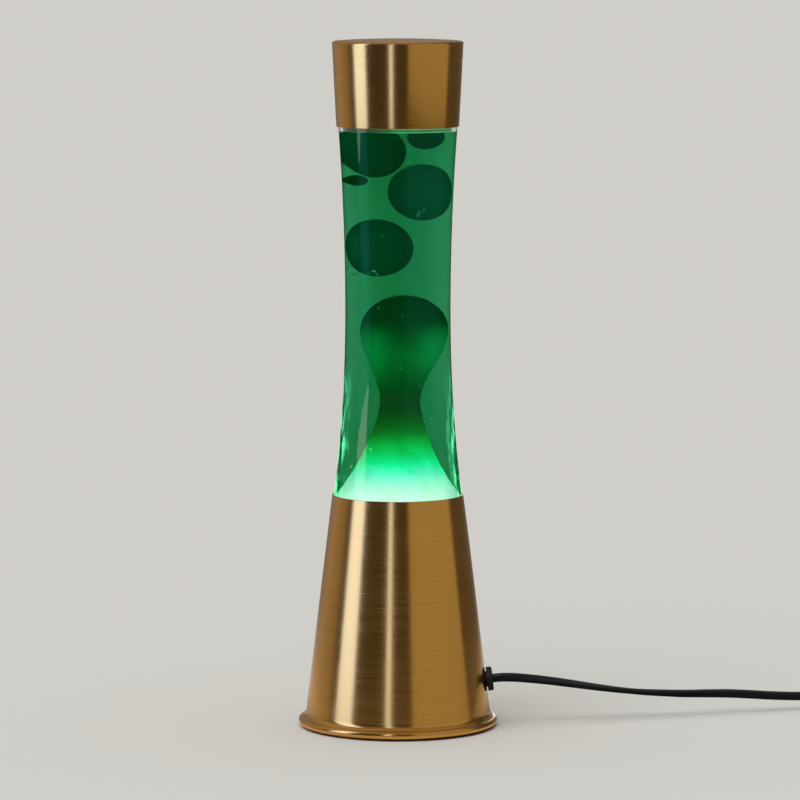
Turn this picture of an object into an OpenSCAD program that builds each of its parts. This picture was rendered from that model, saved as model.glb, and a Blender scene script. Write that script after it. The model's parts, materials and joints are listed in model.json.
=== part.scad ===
// Liquid motion lamp: a brass-finished conical base, a waisted bottle of liquid and wax, and a flared cap.
// Millimetres. The origin is on the table, under the middle of the base, with +Z up and the cord on +X.

/* [Base] */
// Height of the base rim above the table
base_h = 136; // [126:1:150]
// Outer radius of the cone where it meets the rolled foot edge
cone_r = 54; // [50:0.5:60]
// How far the rolled foot edge stands out past the cone
foot_flare = 4.1; // [3.6:0.1:7]
// Radius of the rolled foot edge
bead_r = 2.3; // [1.7:0.1:2.7]
// Radius of the hollow curve between the cone and the foot edge
foot_fillet = 4.5; // [3:0.1:7]
// Gap between the rolled foot edge and the table
foot_lift = 1; // [0.6:0.1:1.6]
// Sheet thickness of the base and the cap
shell_wall = 0.8; // [0.6:0.1:1.2]

/* [Bottle] */
// Outer radius of the bottle at the base rim
bottle_r = 37; // [34.5:0.1:39]
// Outer radius of the bottle at its waist
waist_r = 30.5; // [28.5:0.1:32.5]
// Height of the waist above the base rim
waist_h = 107; // [98:1:116]
// Outer radius of the bottle where the cap begins
top_r = 34.4; // [33.2:0.1:36.5]
// Height of the cap's lower edge above the base rim
cap_edge_h = 213.5; // [208:0.5:225]
// Depth of the bottle below the base rim
bottle_sink = 18.4; // [15:0.2:20]
// Wall of the bottle
glass_wall = 2.6; // [2:0.1:3.2]
// Rounding between the side and the bottom of the bottle
heel_r = 9; // [6:0.5:10]
// Rise of the hollow under the bottle
punt_h = 3; // [1:0.5:5]
// Rounding of the bottle's shoulder
shoulder_r = 13; // [10:0.5:15]
// Outer radius of the bottle's neck
neck_r = 13; // [11:0.2:14.4]

/* [Cap] */
// Height of the cap
cap_h = 50.5; // [46:0.5:60]
// How much wider the cap is at its top than at its lower edge
cap_flare = 2.4; // [0.5:0.1:6]
// Rise of the cap's slightly domed top
cap_dome = 1.2; // [0.4:0.1:3]
// Rounding of the cap's upper edge
cap_edge_r = 1.6; // [1:0.1:3]

/* [Liquid and wax] */
// Depth of the liquid's surface below the cap's lower edge
level_drop = 1; // [1:0.5:10]
// Radius of the rising wax column at its neck
column_neck_r = 8.6; // [6:0.1:12]
// Radius of the wax column's head
column_head_r = 18.9; // [14:0.1:20]
// Radius of the wax column level with the base rim
column_foot_r = 25; // [20:0.5:28]
// Radius of the lower free globule
low_glob_r = 16.5; // [12:0.1:17]
// Radius of the upper free globule
high_glob_r = 16.3; // [12:0.1:17]
// Radius of the left pool under the surface
left_pool_r = 15.8; // [12:0.1:16.5]
// Radius of the right pool under the surface
right_pool_r = 7; // [5:0.1:9]
// Radius of the small droplet
droplet_r = 3.2; // [2:0.1:4]
// How far the lower globule can rise
low_glob_rise = 6; // [2:0.5:8]
// How far the upper globule can rise
high_glob_rise = 4; // [1:0.5:6]

/* [Bulb and lampholder] */
// Radius of the reflector bulb
bulb_r = 19.5; // [16:0.5:21]
// Length of the bulb from its contact to its crown
bulb_len = 66; // [62:0.5:68]
// Outer radius of the lampholder sleeve
holder_r = 13; // [11.5:0.1:15]
// Height of the lampholder
holder_h = 34; // [32:0.5:36]
// Height of the holder bracket above the bottom plate
bracket_h = 7; // [6:0.5:9]

/* [Cord] */
// Width of the flat cord
cord_w = 5.2; // [4.4:0.1:5.8]
// Thickness of the flat cord
cord_t = 3.4; // [2.8:0.1:3.8]
// Height of the cord bush above the table
bush_h = 26.8; // [22:0.2:40]
// Radius of the cord bush's flange
bush_r = 7; // [6:0.1:8.5]
// Thickness of the cord bush's flange
bush_t = 3.4; // [2:0.1:5]

/* [Switch and plug] */
// Length of the switch case
switch_l = 54; // [48:1:70]
// Width of the switch case
switch_w = 24; // [22:0.5:30]
// Height of the switch case
switch_h = 16; // [15:0.5:20]
// Wall of the switch case
switch_wall = 2; // [1.4:0.1:2.4]
// Tilt of the rocker to either side of level
rocker_tilt = 10; // [6:1:12]
// Length of the plug body
plug_l = 36; // [32:1:42]
// Width of the plug body
plug_w = 26; // [25:0.5:34]
// Thickness of the plug body
plug_t = 13.6; // [12:0.2:16]
// Radius of a plug pin
pin_r = 2; // [1.8:0.05:2.4]
// Length of a plug pin
pin_l = 19; // [17:0.5:20]
// Distance between the plug pins
pin_gap = 18.6; // [17:0.2:19.2]

/* [Clearances] */
// Gap between the bottle and the base rim, and between the bottle and the cap
slip_gap = 0.4; // [0.3:0.05:0.8]
// Gap between fixed pieces that seat in each other
fit_gap = 0.1; // [0.05:0.05:0.2]
// Gap around the wax and the liquid
wax_gap = 0.3; // [0.2:0.05:0.5]
// Radial clearance of the rocker on its pin
pin_gap_r = 0.05; // [0.03:0.01:0.1]
// Radial clearance of the rocker's pin in the switch case
pin_seat_gap = 0.02; // [0.01:0.01:0.05]

/* [Hidden] */
$fn = 96;

// Colours as the photo shows them
brass_finish = [0.72, 0.55, 0.25];
black_rubber = [0.06, 0.06, 0.06];
bare_steel = [0.62, 0.63, 0.64];
yellow_brass = [0.78, 0.62, 0.30];
pale_ceramic = [0.90, 0.88, 0.82];
black_plastic = [0.08, 0.08, 0.08];
grey_plastic = [0.16, 0.16, 0.16];
brown_core = [0.35, 0.20, 0.10];
clear_glass = [0.85, 0.93, 0.88, 0.35];
green_liquid = [0.10, 0.50, 0.25, 0.45];
green_wax = [0.10, 0.80, 0.45];

// Points of an arc about c, from angle a0 to a1
function arc(c, r, a0, a1, n = 8) = [
    for (i = [0 : n]) c + r * [cos(a0 + (a1 - a0) * i / n), sin(a0 + (a1 - a0) * i / n)]
];

// A smooth step from 0 to 1
function ease(t) = t * t * (3 - 2 * t);

// A point from a to b whose height changes smoothly
function eased_point(a, b, t) = [
    a[0] + (b[0] - a[0]) * t,
    a[1] + (b[1] - a[1]) * t,
    a[2] + (b[2] - a[2]) * ease(t)
];

// A level disc, post or hole from z0 to z1
module post(r, z0, z1, at = [0, 0]) {
    translate([at[0], at[1], z0])
        cylinder(r = r, h = z1 - z0);
}

// A block from its lowest to its highest corner
module block(low, high) {
    translate(low)
        cube(high - low);
}

// A flat outline with round corners, raised from z0 to z1
module rounded_block(l, w, r, z0, z1) {
    translate([0, 0, z0])
        linear_extrude(z1 - z0) {
            square([l - 2 * r, w], center = true);
            square([l, w - 2 * r], center = true);
            for (x = [-1, 1], y = [-1, 1])
                translate([x * (l / 2 - r), y * (w / 2 - r)])
                    circle(r = r);
        }
}

// Base cone: its outer line runs from the rim to the top of the foot edge
rim_r = bottle_r + slip_gap + shell_wall;
bead_c = [cone_r + foot_flare - bead_r, foot_lift + bead_r];
cone_z = bead_c[1] + bead_r;
cone_slope = (cone_r - rim_r) / (base_h - cone_z);
cone_tilt = atan(cone_slope);
function cone_out(z) = rim_r + (base_h - z) * cone_slope;
function cone_in(z) = cone_out(z) - shell_wall / cos(cone_tilt);

// The hollow curve touches the cone's line and the rolled edge
fillet_line = cone_r * cos(cone_tilt) + cone_z * sin(cone_tilt) + foot_fillet;
fillet_near = fillet_line - bead_c[0] * cos(cone_tilt) - bead_c[1] * sin(cone_tilt);
fillet_far = sqrt(pow(foot_fillet + bead_r, 2) - pow(fillet_near, 2));
fillet_c = bead_c + fillet_near * [cos(cone_tilt), sin(cone_tilt)]
    + fillet_far * [-sin(cone_tilt), cos(cone_tilt)];
fillet_a = atan2(fillet_c[1] - bead_c[1], fillet_c[0] - bead_c[0]);

// Bottom plate, feet and what stands on the plate
plate_t = 1.5;
plate_z = 3.6;
plate_top = plate_z + plate_t;
plate_r = min(cone_in(plate_top), bead_c[0] - bead_r) - fit_gap;
foot_r = 5;
foot_ring = plate_r - foot_r - 3;
foot_stem_r = 1.9;
foot_barb = 0.7;
foot_barb_h = 1;
foot_angles = [45, 135, 225, 315];
vent_r = 3;
vent_ring = 20;
vent_count = 12;
screw_r = 1.5;
screw_head_r = 2.8;
screw_head_h = 1.6;
slot_half = 0.4;
slot_depth = 0.7;
post_r = 3;
post_angles = [90, 210, 330];
thread_depth = 12;

// Seat of the bottle
bottle_z = base_h - bottle_sink;
pad_t = 1.6;
seat_t = 1.4;
seat_z = bottle_z - pad_t;
seat_skirt = 4;
seat_hole_r = bottle_r - heel_r - 4;
pad_r = bottle_r - heel_r + 1;
post_ring = cone_in(seat_z) - seat_t - post_r - 1.5;
rivet_r = 2;
rivet_head = 0.8;

// Lampholder and bulb, stacked on the bracket
bracket_t = 1.4;
bracket_top = plate_top + bracket_h;
bracket_w = 16;
bracket_leg_y = 17;
bracket_foot_y = 27;
bracket_screw_y = 22.5;
holder_top = bracket_top + holder_h;
holder_base_h = 12;
holder_base_top = bracket_top + holder_base_h;
holder_screw_y = 8.5;
holder_screw_in = 2.6;
holder_boss_r = 3;
cavity_r = holder_r - 2;
cavity_h = 6.5;
cavity_z = bracket_top + 3;
terminal_x = [2, 7.5];
terminal_y = 5;
terminal_h = 4;
terminal_shift = 0.4;
shell_bore_r = 7.3;
shell_tube = 0.6;
shell_drop = 2;
sleeve_edge = 1.5;
contact_h = 2.6;
contact_rim_r = 4;
contact_rim_h = 0.8;
contact_r = 2.4;
bulb_z = holder_base_top + contact_h + fit_gap;
bulb_tip_h = 4.5;
bulb_shell_r = 6.9;
bulb_shell_h = 15.5;
bulb_wall = 0.8;
bulb_neck_r = 6.2;
bulb_neck_h = bulb_tip_h + bulb_shell_h + 4;
bulb_bowl_h = 47;
bulb_dome_c = bulb_len - bulb_r * 0.62;
stem_r = 3.4;
stem_h = bulb_bowl_h - 12;
filament_r = 6;
filament_h = bulb_bowl_h - 2;
filament_wire = 0.5;

// Bottle: two arcs share an upright tangent at the waist
waist_z = base_h + waist_h;
cap_z = base_h + cap_edge_h;
lower_arc = (pow(waist_h, 2) + pow(bottle_r - waist_r, 2)) / (2 * (bottle_r - waist_r));
upper_arc = (pow(cap_z - waist_z, 2) + pow(top_r - waist_r, 2)) / (2 * (top_r - waist_r));
function side_arc(z) = z < waist_z ? lower_arc : upper_arc;
function side_r(z, inset) = waist_r + side_arc(z) - sqrt(pow(side_arc(z) + inset, 2) - pow(z - waist_z, 2));
function side_points(z0, z1, inset, n) = [
    for (i = [0 : n]) let (z = z0 + (z1 - z0) * i / n) [side_r(z, inset), z]
];
inner_floor = bottle_z + punt_h + glass_wall;
inner_heel = heel_r - 3;
collar_h = 2;
shoulder_c = [top_r - shoulder_r, cap_z + collar_h];
neck_fillet = top_r - shoulder_r - neck_r;
neck_fillet_c = shoulder_c + [0, shoulder_r + neck_fillet];

// Cap and closure, stacked down from the cap's top
cap_top = cap_z + cap_h;
cap_low_r = top_r + slip_gap + shell_wall;
cap_rim_r = cap_low_r + cap_flare;
cap_edge_z = cap_top - cap_dome;
dome_r = (pow(cap_rim_r, 2) + pow(cap_dome, 2)) / (2 * cap_dome);
function dome_z(r) = cap_top - dome_r + sqrt(pow(dome_r, 2) - pow(r, 2));
function cap_out(z) = cap_low_r + cap_flare * (z - cap_z) / (cap_edge_z - cap_z);
spacer_t = 3;
spacer_edge_h = 3;
spacer_wall = 2;
crown_t = 0.6;
seal_t = 1.2;
crown_top = cap_edge_z - cap_edge_r - shell_wall - spacer_t;
finish_top = crown_top - crown_t - seal_t;
finish_lip = 1;
finish_lip_h = 4;
crown_bore = neck_r + finish_lip + fit_gap;
crown_skirt = 5.6;
crown_flutes = 21;
flute_r = 0.6;
crown_r = crown_bore + crown_t + flute_r;

// Liquid and wax places, from the surface down; each has a turn about the bottle's axis
level_z = cap_z - level_drop;
wax_clear = 0.8;
wall_clear = 0.7;
left_pool_turn = 158;
left_pool_drop = 13;
high_glob_turn = 333.4;
high_glob_sink = 6;
low_glob_turn = 206.6;
right_pool_turn = 44;
right_pool_drop = 4.5;
right_pool_in = 9.4;
droplet_turn = 132.5;
droplet_in = 5;
droplet_sink = 1;
function polar(a, r) = [r * cos(a), r * sin(a)];
function beside_wall(a, z, r) = polar(a, side_r(z, glass_wall) - r - wall_clear);
left_pool_z = level_z - left_pool_drop;
left_pool_at = beside_wall(left_pool_turn, left_pool_z, left_pool_r);
high_glob_at = beside_wall(high_glob_turn, left_pool_z - left_pool_r - high_glob_sink, high_glob_r);
high_glob_z = left_pool_z - high_glob_rise - drop(left_pool_at - high_glob_at, left_pool_r + high_glob_r);
low_glob_at = beside_wall(low_glob_turn, waist_z, low_glob_r);
low_glob_z = high_glob_z - low_glob_rise - drop(high_glob_at - low_glob_at, high_glob_r + low_glob_r);
right_pool_z = level_z - right_pool_drop;
right_pool_at = beside_wall(right_pool_turn, level_z, right_pool_r + right_pool_in);
droplet_z = left_pool_z - left_pool_r - droplet_sink;
droplet_at = beside_wall(droplet_turn, droplet_z, droplet_r + droplet_in);
// Height between two globules that would just clear each other
function drop(apart, reach) = sqrt(pow(reach + wax_clear, 2) - pow(norm(apart), 2));

// Wax column: heights above the base rim of its neck, the widest part of its head, and its top
column_neck_h = 55;
column_head_h = 95;
column_top_h = 116.5;
column_spread = 1.6;
function column_r(h) =
    h < column_neck_h
        ? column_neck_r + (column_foot_r - column_neck_r) * pow(1 - h / column_neck_h, column_spread)
        : h < column_head_h
            ? column_neck_r + (column_head_r - column_neck_r)
                * ease((h - column_neck_h) / (column_head_h - column_neck_h))
            : column_head_r * sqrt(max(0, 1 - pow(head_part(h), 2)));
function head_part(h) = (h - column_head_h) / (column_top_h - column_head_h);
wire_ring_r = 24;
wire_r = 1.2;
wire_z = inner_floor + wire_r + wax_gap;

// Cord bush, square to the cone's wall
bush_c = [cone_out(bush_h), 0, bush_h];
bush_neck_r = 4.6;
bush_nut_r = 6.2;
bush_nut_t = 5;
bush_seat = pow(bush_r, 2) / (2 * cone_out(bush_h)) + fit_gap;
bush_axis = [cos(cone_tilt), 0, sin(cone_tilt)];
cord_exit = bush_c + (bush_seat + bush_t) * bush_axis;
lead_start = bush_c - (shell_wall + bush_nut_t) * bush_axis;

// Switch, coil and plug, laid out past the end of the seen cord
switch_x = 291;
switch_y = 53;
switch_split = switch_h / 2;
switch_corner = 5;
switch_bush_r = 4.6;
switch_bush_l = 3;
switch_bush_flare = 0.8;
switch_screw_z = screw_head_h + 0.4;
switch_boss_r = 3.2;
switch_boss_in = 1;
switch_boss_x = switch_l / 2 - switch_wall - switch_boss_r + switch_boss_in;
rocker_w = 11;
rocker_half = 9.8;
rocker_ridge = 4.2;
rocker_side = 2.6;
rocker_keel = 3;
rocker_chamfer = 0.8;
rocker_gap = 0.5;
rocker_pin_r = 1.2;
rocker_z = switch_h - 3;
ear_t = 2;
ear_half = 3.5;
ear_drop = 3;
tab_x = 12;
tab_l = 8;
tab_w = 6;
tab_t = 0.8;
tab_h = switch_split - switch_wall - 1.4;
coil_x = 352;
coil_outer = 37;
coil_turns = 3.875;
coil_gap = 0.7;
coil_step = cord_t + coil_gap;
coil_inner = coil_outer - coil_turns * coil_step;
coil_y = switch_y - coil_outer;
coil_lift = 1;
layer_rise = cord_w + coil_gap;
coil_z = coil_lift + cord_w / 2;
coil_lead = 6;
plug_run = 12;
tie_t = 0.8;
tie_w = 4;
tie_gap = 0.45;
plug_x = coil_x + coil_outer;
plug_z = plug_t / 2;
relief_l = 20;
relief_end_r = 3.9;
relief_root_r = 5.2;
relief_end_y = coil_y - plug_run - 14;
relief_ribs = 5;
relief_taper = (relief_root_r - relief_end_r) / relief_ribs;
plug_front_y = relief_end_y - relief_l - plug_l;
plug_neck_w = 12;
plug_edge = 1.5;

// Clamp, cores and the place where the inner lead ends
lead_gap = 0.3;
lead_z = plate_top + cord_w / 2 + lead_gap;
lead_end_x = 22;
clamp_x = 27.5;
clamp_t = 1.2;
clamp_l = 5;
clamp_y = 8;
clamp_ear = 3.4;
core_r = 0.9;
core_y = 1.2;
core_spread = 2.2;
core_z = cavity_z + cavity_h - terminal_h / 2;

// Routes of the cord, chosen by hand
lamp_route = [
    cord_exit, [61, 0, 27.8], [69, 1.5, 27.4], [79, 5, 26], [91, 9, 24], [104, 12.5, 21.6], [117, 16, 19.2],
    [130, 19.5, 17], [143, 23, 15.2], [156, 26.5, 14], [169, 30, 13], [182, 34, 12.4], [195, 38, 11.7],
    [208, 41.5, 10.6], [221, 45, 9.3], [234, 48.5, 8.3], [247, 51.5, 7.8], [254, 52.6, 7.9],
    [switch_x - switch_l / 2 - switch_bush_l, switch_y, switch_split]
];
// The cord lies half turned over between these two distances along X
roll_from = 55;
roll_to = 205;
function lamp_roll(x) = 180 * max(0, min(1, (x - roll_from) / (roll_to - roll_from)));
inner_route = [
    cord_exit, lead_start, lead_start - 3 * bush_axis, [40, 0, 23], [36.5, 0, 16], [34.5, 0, 11],
    [clamp_x + 5, 0, lead_z + 0.4], [clamp_x, 0, lead_z], [lead_end_x, 0, lead_z]
];
core_route = [
    [lead_end_x, core_y, lead_z], [lead_end_x - 3, core_y, lead_z + 0.6],
    [lead_end_x - 5, core_y * 1.3, lead_z + 2.6], [lead_end_x - 7, core_y * 1.8, lead_z + 5.6],
    [holder_r + 0.5, core_y * core_spread, core_z], [terminal_x[1] + 1.6, core_y * core_spread, core_z],
    [terminal_x[1], core_y * core_spread, core_z]
];

// A flat cord: rings of an oval section along a route, rolled about it
sides = 10;
function unit(v) = v / norm(v);
function way(p, i) = unit(p[min(i + 1, len(p) - 1)] - p[max(i - 1, 0)]);
function oval_ring(c, t, w, h, roll, n) =
    let (s = unit(cross(t, [0, 0, 1])), u = cross(s, t))
    [for (k = [0 : n - 1])
        let (a = 360 * (k + 0.5) / n, x = h / 2 * cos(a), y = w / 2 * sin(a))
        c + s * (x * cos(roll) - y * sin(roll)) + u * (x * sin(roll) + y * cos(roll))];
function tube_faces(rings, n) = concat(
    [for (i = [0 : rings - 2], k = [0 : n - 1])
        [i * n + k, i * n + (k + 1) % n, (i + 1) * n + (k + 1) % n]],
    [for (i = [0 : rings - 2], k = [0 : n - 1])
        [i * n + k, (i + 1) * n + (k + 1) % n, (i + 1) * n + k]],
    [for (k = [1 : n - 2]) [0, k + 1, k]],
    [for (k = [1 : n - 2]) (rings - 1) * n * [1, 1, 1] + [0, k, k + 1]]
);
module tube(rings, n) {
    polyhedron(points = [for (ring = rings) each ring], faces = tube_faces(len(rings), n));
}

// The coil: it spirals in, climbs a layer in half a turn, and spirals out again
loop_rings = 24;
coil_sides = 6;
climb_turns = 0.5;
coil_all = 2 * coil_turns + climb_turns;
function coil_radius(t) =
    t < coil_turns ? coil_outer - coil_step * t
        : t < coil_turns + climb_turns ? coil_inner
            : coil_inner + coil_step * (t - coil_turns - climb_turns);
function coil_height(t) = coil_z + layer_rise * ease(max(0, min(1, (t - coil_turns) / climb_turns)));
function coil_point(t) = [
    coil_x + coil_radius(t) * cos(90 - 360 * t),
    coil_y + coil_radius(t) * sin(90 - 360 * t),
    coil_height(t)
];
coil_route = concat(
    [[coil_x - coil_lead, coil_y + coil_outer, coil_z]],
    [for (i = [0 : coil_all * loop_rings]) coil_point(i / loop_rings)],
    [[coil_x + coil_outer, coil_y - plug_run, coil_z + layer_rise]]
);
function coil_way(i) =
    i == 0 ? [1, 0, 0]
        : i == len(coil_route) - 1 ? [0, -1, 0]
            : way(coil_route, i);
coil_rings = [
    for (i = [0 : len(coil_route) - 1])
        oval_ring(coil_route[i], coil_way(i), cord_w, cord_t / cos(180 / coil_sides), 0, coil_sides)
];
// Least distance between the corners of rings at least half a turn apart
function coil_clear() = min([
    for (i = [0 : len(coil_rings) - 1], j = [i + loop_rings / 2 : 1 : len(coil_rings) - 1])
        if (norm(coil_route[i] - coil_route[j]) < 2 * cord_w)
            for (a = coil_rings[i], b = coil_rings[j]) norm(a - b)
]);

// Base
module base_shell() {
    color(brass_finish)
        difference() {
            rotate_extrude()
                polygon(concat(
                    [[rim_r - shell_wall, base_h], [rim_r, base_h]],
                    arc(fillet_c, foot_fillet, 180 + cone_tilt, 180 + fillet_a),
                    arc(bead_c, bead_r, fillet_a, -180, 14),
                    [[cone_in(cone_z + bead_r), cone_z + bead_r]]
                ));
            along_bush(bush_neck_r + fit_gap, -6, 6);
        }
}

// A cylinder on the bush's axis, measured out from the wall
module along_bush(r, from, to) {
    translate(bush_c)
        rotate([0, 90 - cone_tilt, 0])
            translate([0, 0, from])
                cylinder(r = r, h = to - from);
}

module seat_ring() {
    low = seat_z - seat_skirt;
    color(bare_steel)
        difference() {
            rotate_extrude()
                polygon([
                    [seat_hole_r, seat_z - seat_t],
                    [cone_in(seat_z) - fit_gap - seat_t, seat_z - seat_t],
                    [cone_in(low) - fit_gap - seat_t, low],
                    [cone_in(low) - fit_gap, low],
                    [cone_in(seat_z) - fit_gap, seat_z],
                    [seat_hole_r, seat_z]
                ]);
            for (a = post_angles)
                post(rivet_r + fit_gap, seat_z - seat_t - 1, seat_z + 1, polar(a, post_ring));
        }
}

module seat_pad() {
    color(black_rubber)
        difference() {
            post(pad_r, seat_z, bottle_z);
            post(seat_hole_r, seat_z - 1, bottle_z + 1);
        }
}

module support_posts() {
    color(bare_steel)
        for (a = post_angles)
            difference() {
                union() {
                    post(post_r, plate_top, seat_z - seat_t, polar(a, post_ring));
                    post(rivet_r, seat_z - seat_t - 1, seat_z + rivet_head, polar(a, post_ring));
                    post(rivet_r + rivet_head, seat_z, seat_z + rivet_head, polar(a, post_ring));
                }
                post(screw_r + fit_gap, plate_top - 1, plate_top + thread_depth, polar(a, post_ring));
            }
}

module bottom_plate() {
    color(black_plastic)
        difference() {
            post(plate_r, plate_z, plate_top);
            for (a = foot_angles)
                post(foot_stem_r + fit_gap, plate_z - 1, plate_top + 1, polar(a, foot_ring));
            for (a = post_angles)
                post(screw_r + fit_gap, plate_z - 1, plate_top + 1, polar(a, post_ring));
            for (i = [0 : vent_count - 1])
                if (i % 3 != 0)
                    post(vent_r, plate_z - 1, plate_top + 1, polar(i * 360 / vent_count, vent_ring));
            for (y = [-1, 1])
                post(screw_r + fit_gap, plate_z - 1, plate_top + 1, [0, y * bracket_screw_y]);
            post(screw_r + fit_gap, plate_z - 1, plate_top + 1, [clamp_x, clamp_y]);
        }
}

// A cheese-head screw that points up (up 1) or down (up -1) from under its head at z
module screw(at, z, length, up) {
    slot_z = z - up * (screw_head_h - slot_depth);
    post(screw_r, up > 0 ? z : z - length, up > 0 ? z + length : z, at);
    difference() {
        post(screw_head_r, up > 0 ? z - screw_head_h : z, up > 0 ? z : z + screw_head_h, at);
        block(
            [at[0] - screw_head_r - 1, at[1] - slot_half, up > 0 ? z - screw_head_h - 1 : slot_z],
            [at[0] + screw_head_r + 1, at[1] + slot_half, up > 0 ? slot_z : z + screw_head_h + 1]
        );
    }
}

module bottom_plate_screws() {
    color(bare_steel)
        for (a = post_angles)
            screw(polar(a, post_ring), plate_z, plate_t + thread_depth - 2, 1);
}

module rubber_feet() {
    color(black_rubber)
        for (a = foot_angles) {
            post(foot_r, 0, plate_z, polar(a, foot_ring));
            post(foot_stem_r, plate_z - 1, plate_top + foot_barb_h, polar(a, foot_ring));
            post(foot_stem_r + foot_barb, plate_top, plate_top + foot_barb_h, polar(a, foot_ring));
        }
}

// Lampholder
module holder_bracket() {
    under = bracket_top - bracket_t;
    color(bare_steel)
        difference() {
            union() {
                block([-bracket_w / 2, -bracket_leg_y, under], [bracket_w / 2, bracket_leg_y, bracket_top]);
                for (s = [0, 1])
                    mirror([0, s, 0]) {
                        block(
                            [-bracket_w / 2, bracket_leg_y - bracket_t, plate_top],
                            [bracket_w / 2, bracket_leg_y, bracket_top]
                        );
                        block(
                            [-bracket_w / 2, bracket_leg_y - bracket_t, plate_top],
                            [bracket_w / 2, bracket_foot_y, plate_top + bracket_t]
                        );
                    }
            }
            for (y = [-1, 1]) {
                post(screw_r + fit_gap, plate_top - 1, plate_top + bracket_t + 1, [0, y * bracket_screw_y]);
                post(screw_r + fit_gap, under - 1, bracket_top + 1, [0, y * holder_screw_y]);
            }
        }
}

module bracket_screws() {
    color(bare_steel)
        for (y = [-1, 1])
            screw([0, y * bracket_screw_y], plate_top + bracket_t, bracket_t + plate_t, -1);
}

module holder_screws() {
    color(bare_steel)
        for (y = [-1, 1])
            screw([0, y * holder_screw_y], bracket_top - bracket_t, bracket_t + holder_screw_in, 1);
}

module holder_base() {
    color(pale_ceramic)
        difference() {
            post(holder_r, bracket_top, holder_base_top);
            difference() {
                post(cavity_r, cavity_z, cavity_z + cavity_h);
                for (y = [-1, 1])
                    post(holder_boss_r, cavity_z - 1, cavity_z + cavity_h + 1, [0, y * holder_screw_y]);
            }
            for (y = [-1, 1]) {
                post(
                    screw_r + fit_gap, bracket_top - 1, bracket_top + holder_screw_in + 1,
                    [0, y * holder_screw_y]
                );
                translate([terminal_x[1], y * core_y * core_spread, core_z])
                    rotate([0, 90, 0])
                        cylinder(r = core_r + slip_gap, h = holder_r);
            }
        }
}

module holder_sleeve() {
    color(pale_ceramic)
        rotate_extrude()
            polygon([
                [shell_bore_r + shell_tube + fit_gap, holder_base_top],
                [holder_r, holder_base_top],
                [holder_r, holder_top - sleeve_edge],
                [holder_r - sleeve_edge, holder_top],
                [shell_bore_r + shell_tube + fit_gap, holder_top]
            ]);
}

module holder_thread_shell() {
    ridge = 0.35;
    turns = 5;
    foot = holder_base_top + shell_drop;
    top = holder_top - shell_drop;
    rise = (top - foot) / turns;
    color(yellow_brass)
        rotate_extrude()
            polygon(concat(
                [[shell_bore_r + shell_tube, holder_base_top], [shell_bore_r + shell_tube, top]],
                [for (i = [turns : -1 : 1]) each [
                    [shell_bore_r, foot + rise * i],
                    [shell_bore_r + ridge, foot + rise * (i - 0.5)]
                ]],
                [[shell_bore_r, foot], [shell_bore_r, holder_base_top]]
            ));
}

module holder_contact() {
    color(yellow_brass) {
        post(contact_rim_r, holder_base_top, holder_base_top + contact_rim_h);
        post(contact_r, holder_base_top, holder_base_top + contact_h);
    }
}

module holder_terminals() {
    top = cavity_z + cavity_h;
    color(yellow_brass)
        for (s = [-1, 1]) {
            y = s * (core_y * core_spread + terminal_shift);
            block(
                [terminal_x[0], y - terminal_y / 2, top - terminal_h],
                [terminal_x[1], y + terminal_y / 2, top]
            );
        }
}

// Cord bush, lead and clamp
module cord_bush() {
    color(black_rubber)
        difference() {
            union() {
                along_bush(bush_r, bush_seat, bush_seat + bush_t);
                along_bush(bush_neck_r, -shell_wall - 1.5, bush_seat + 1);
                along_bush(bush_nut_r, -shell_wall - bush_nut_t, -shell_wall - bush_seat);
            }
            translate(bush_c)
                rotate([0, 90 - cone_tilt, 0])
                    translate([0, 0, -20])
                        linear_extrude(40) {
                            square([cord_w - cord_t, cord_t + 2 * fit_gap], center = true);
                            for (x = [-1, 1])
                                translate([x * (cord_w - cord_t) / 2, 0])
                                    circle(r = cord_t / 2 + fit_gap);
                        }
        }
}

function inner_way(i) =
    i < 3 ? -bush_axis
        : i > len(inner_route) - 3 ? [-1, 0, 0]
            : way(inner_route, i);

module inner_lead() {
    color(black_rubber)
        tube([
            for (i = [0 : len(inner_route) - 1])
                oval_ring(inner_route[i], inner_way(i), cord_w, cord_t, 0, sides)
        ], sides);
}

module lead_cores() {
    color(brown_core)
        for (s = [0, 1])
            mirror([0, s, 0])
                tube([
                    for (i = [0 : len(core_route) - 1])
                        oval_ring(
                            core_route[i],
                            i == 0 || i > len(core_route) - 3 ? [-1, 0, 0] : way(core_route, i),
                            2 * core_r, 2 * core_r, 0, 8
                        )
                ], 8);
}

module cord_clamp() {
    high = lead_z + cord_w / 2 + lead_gap;
    half = cord_t / 2 + lead_gap;
    x0 = clamp_x - clamp_l / 2;
    x1 = clamp_x + clamp_l / 2;
    color(bare_steel)
        difference() {
            union() {
                block([x0, -half - clamp_t, plate_top], [x1, half + clamp_t, high + clamp_t]);
                block([x0, 0, plate_top], [x1, clamp_y + clamp_ear, plate_top + clamp_t]);
            }
            block([x0 - 1, -half, plate_top - 1], [x1 + 1, half, high]);
            post(screw_r + fit_gap, plate_top - 1, plate_top + clamp_t + 1, [clamp_x, clamp_y]);
        }
}

module clamp_screw() {
    color(bare_steel)
        screw([clamp_x, clamp_y], plate_top + clamp_t, clamp_t + plate_t, -1);
}

// Bulb
module bulb_glass() {
    color(clear_glass)
        translate([0, 0, bulb_z])
            difference() {
                rotate_extrude()
                    polygon(bulb_outline(0));
                rotate_extrude()
                    polygon(bulb_outline(bulb_wall));
            }
}

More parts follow.
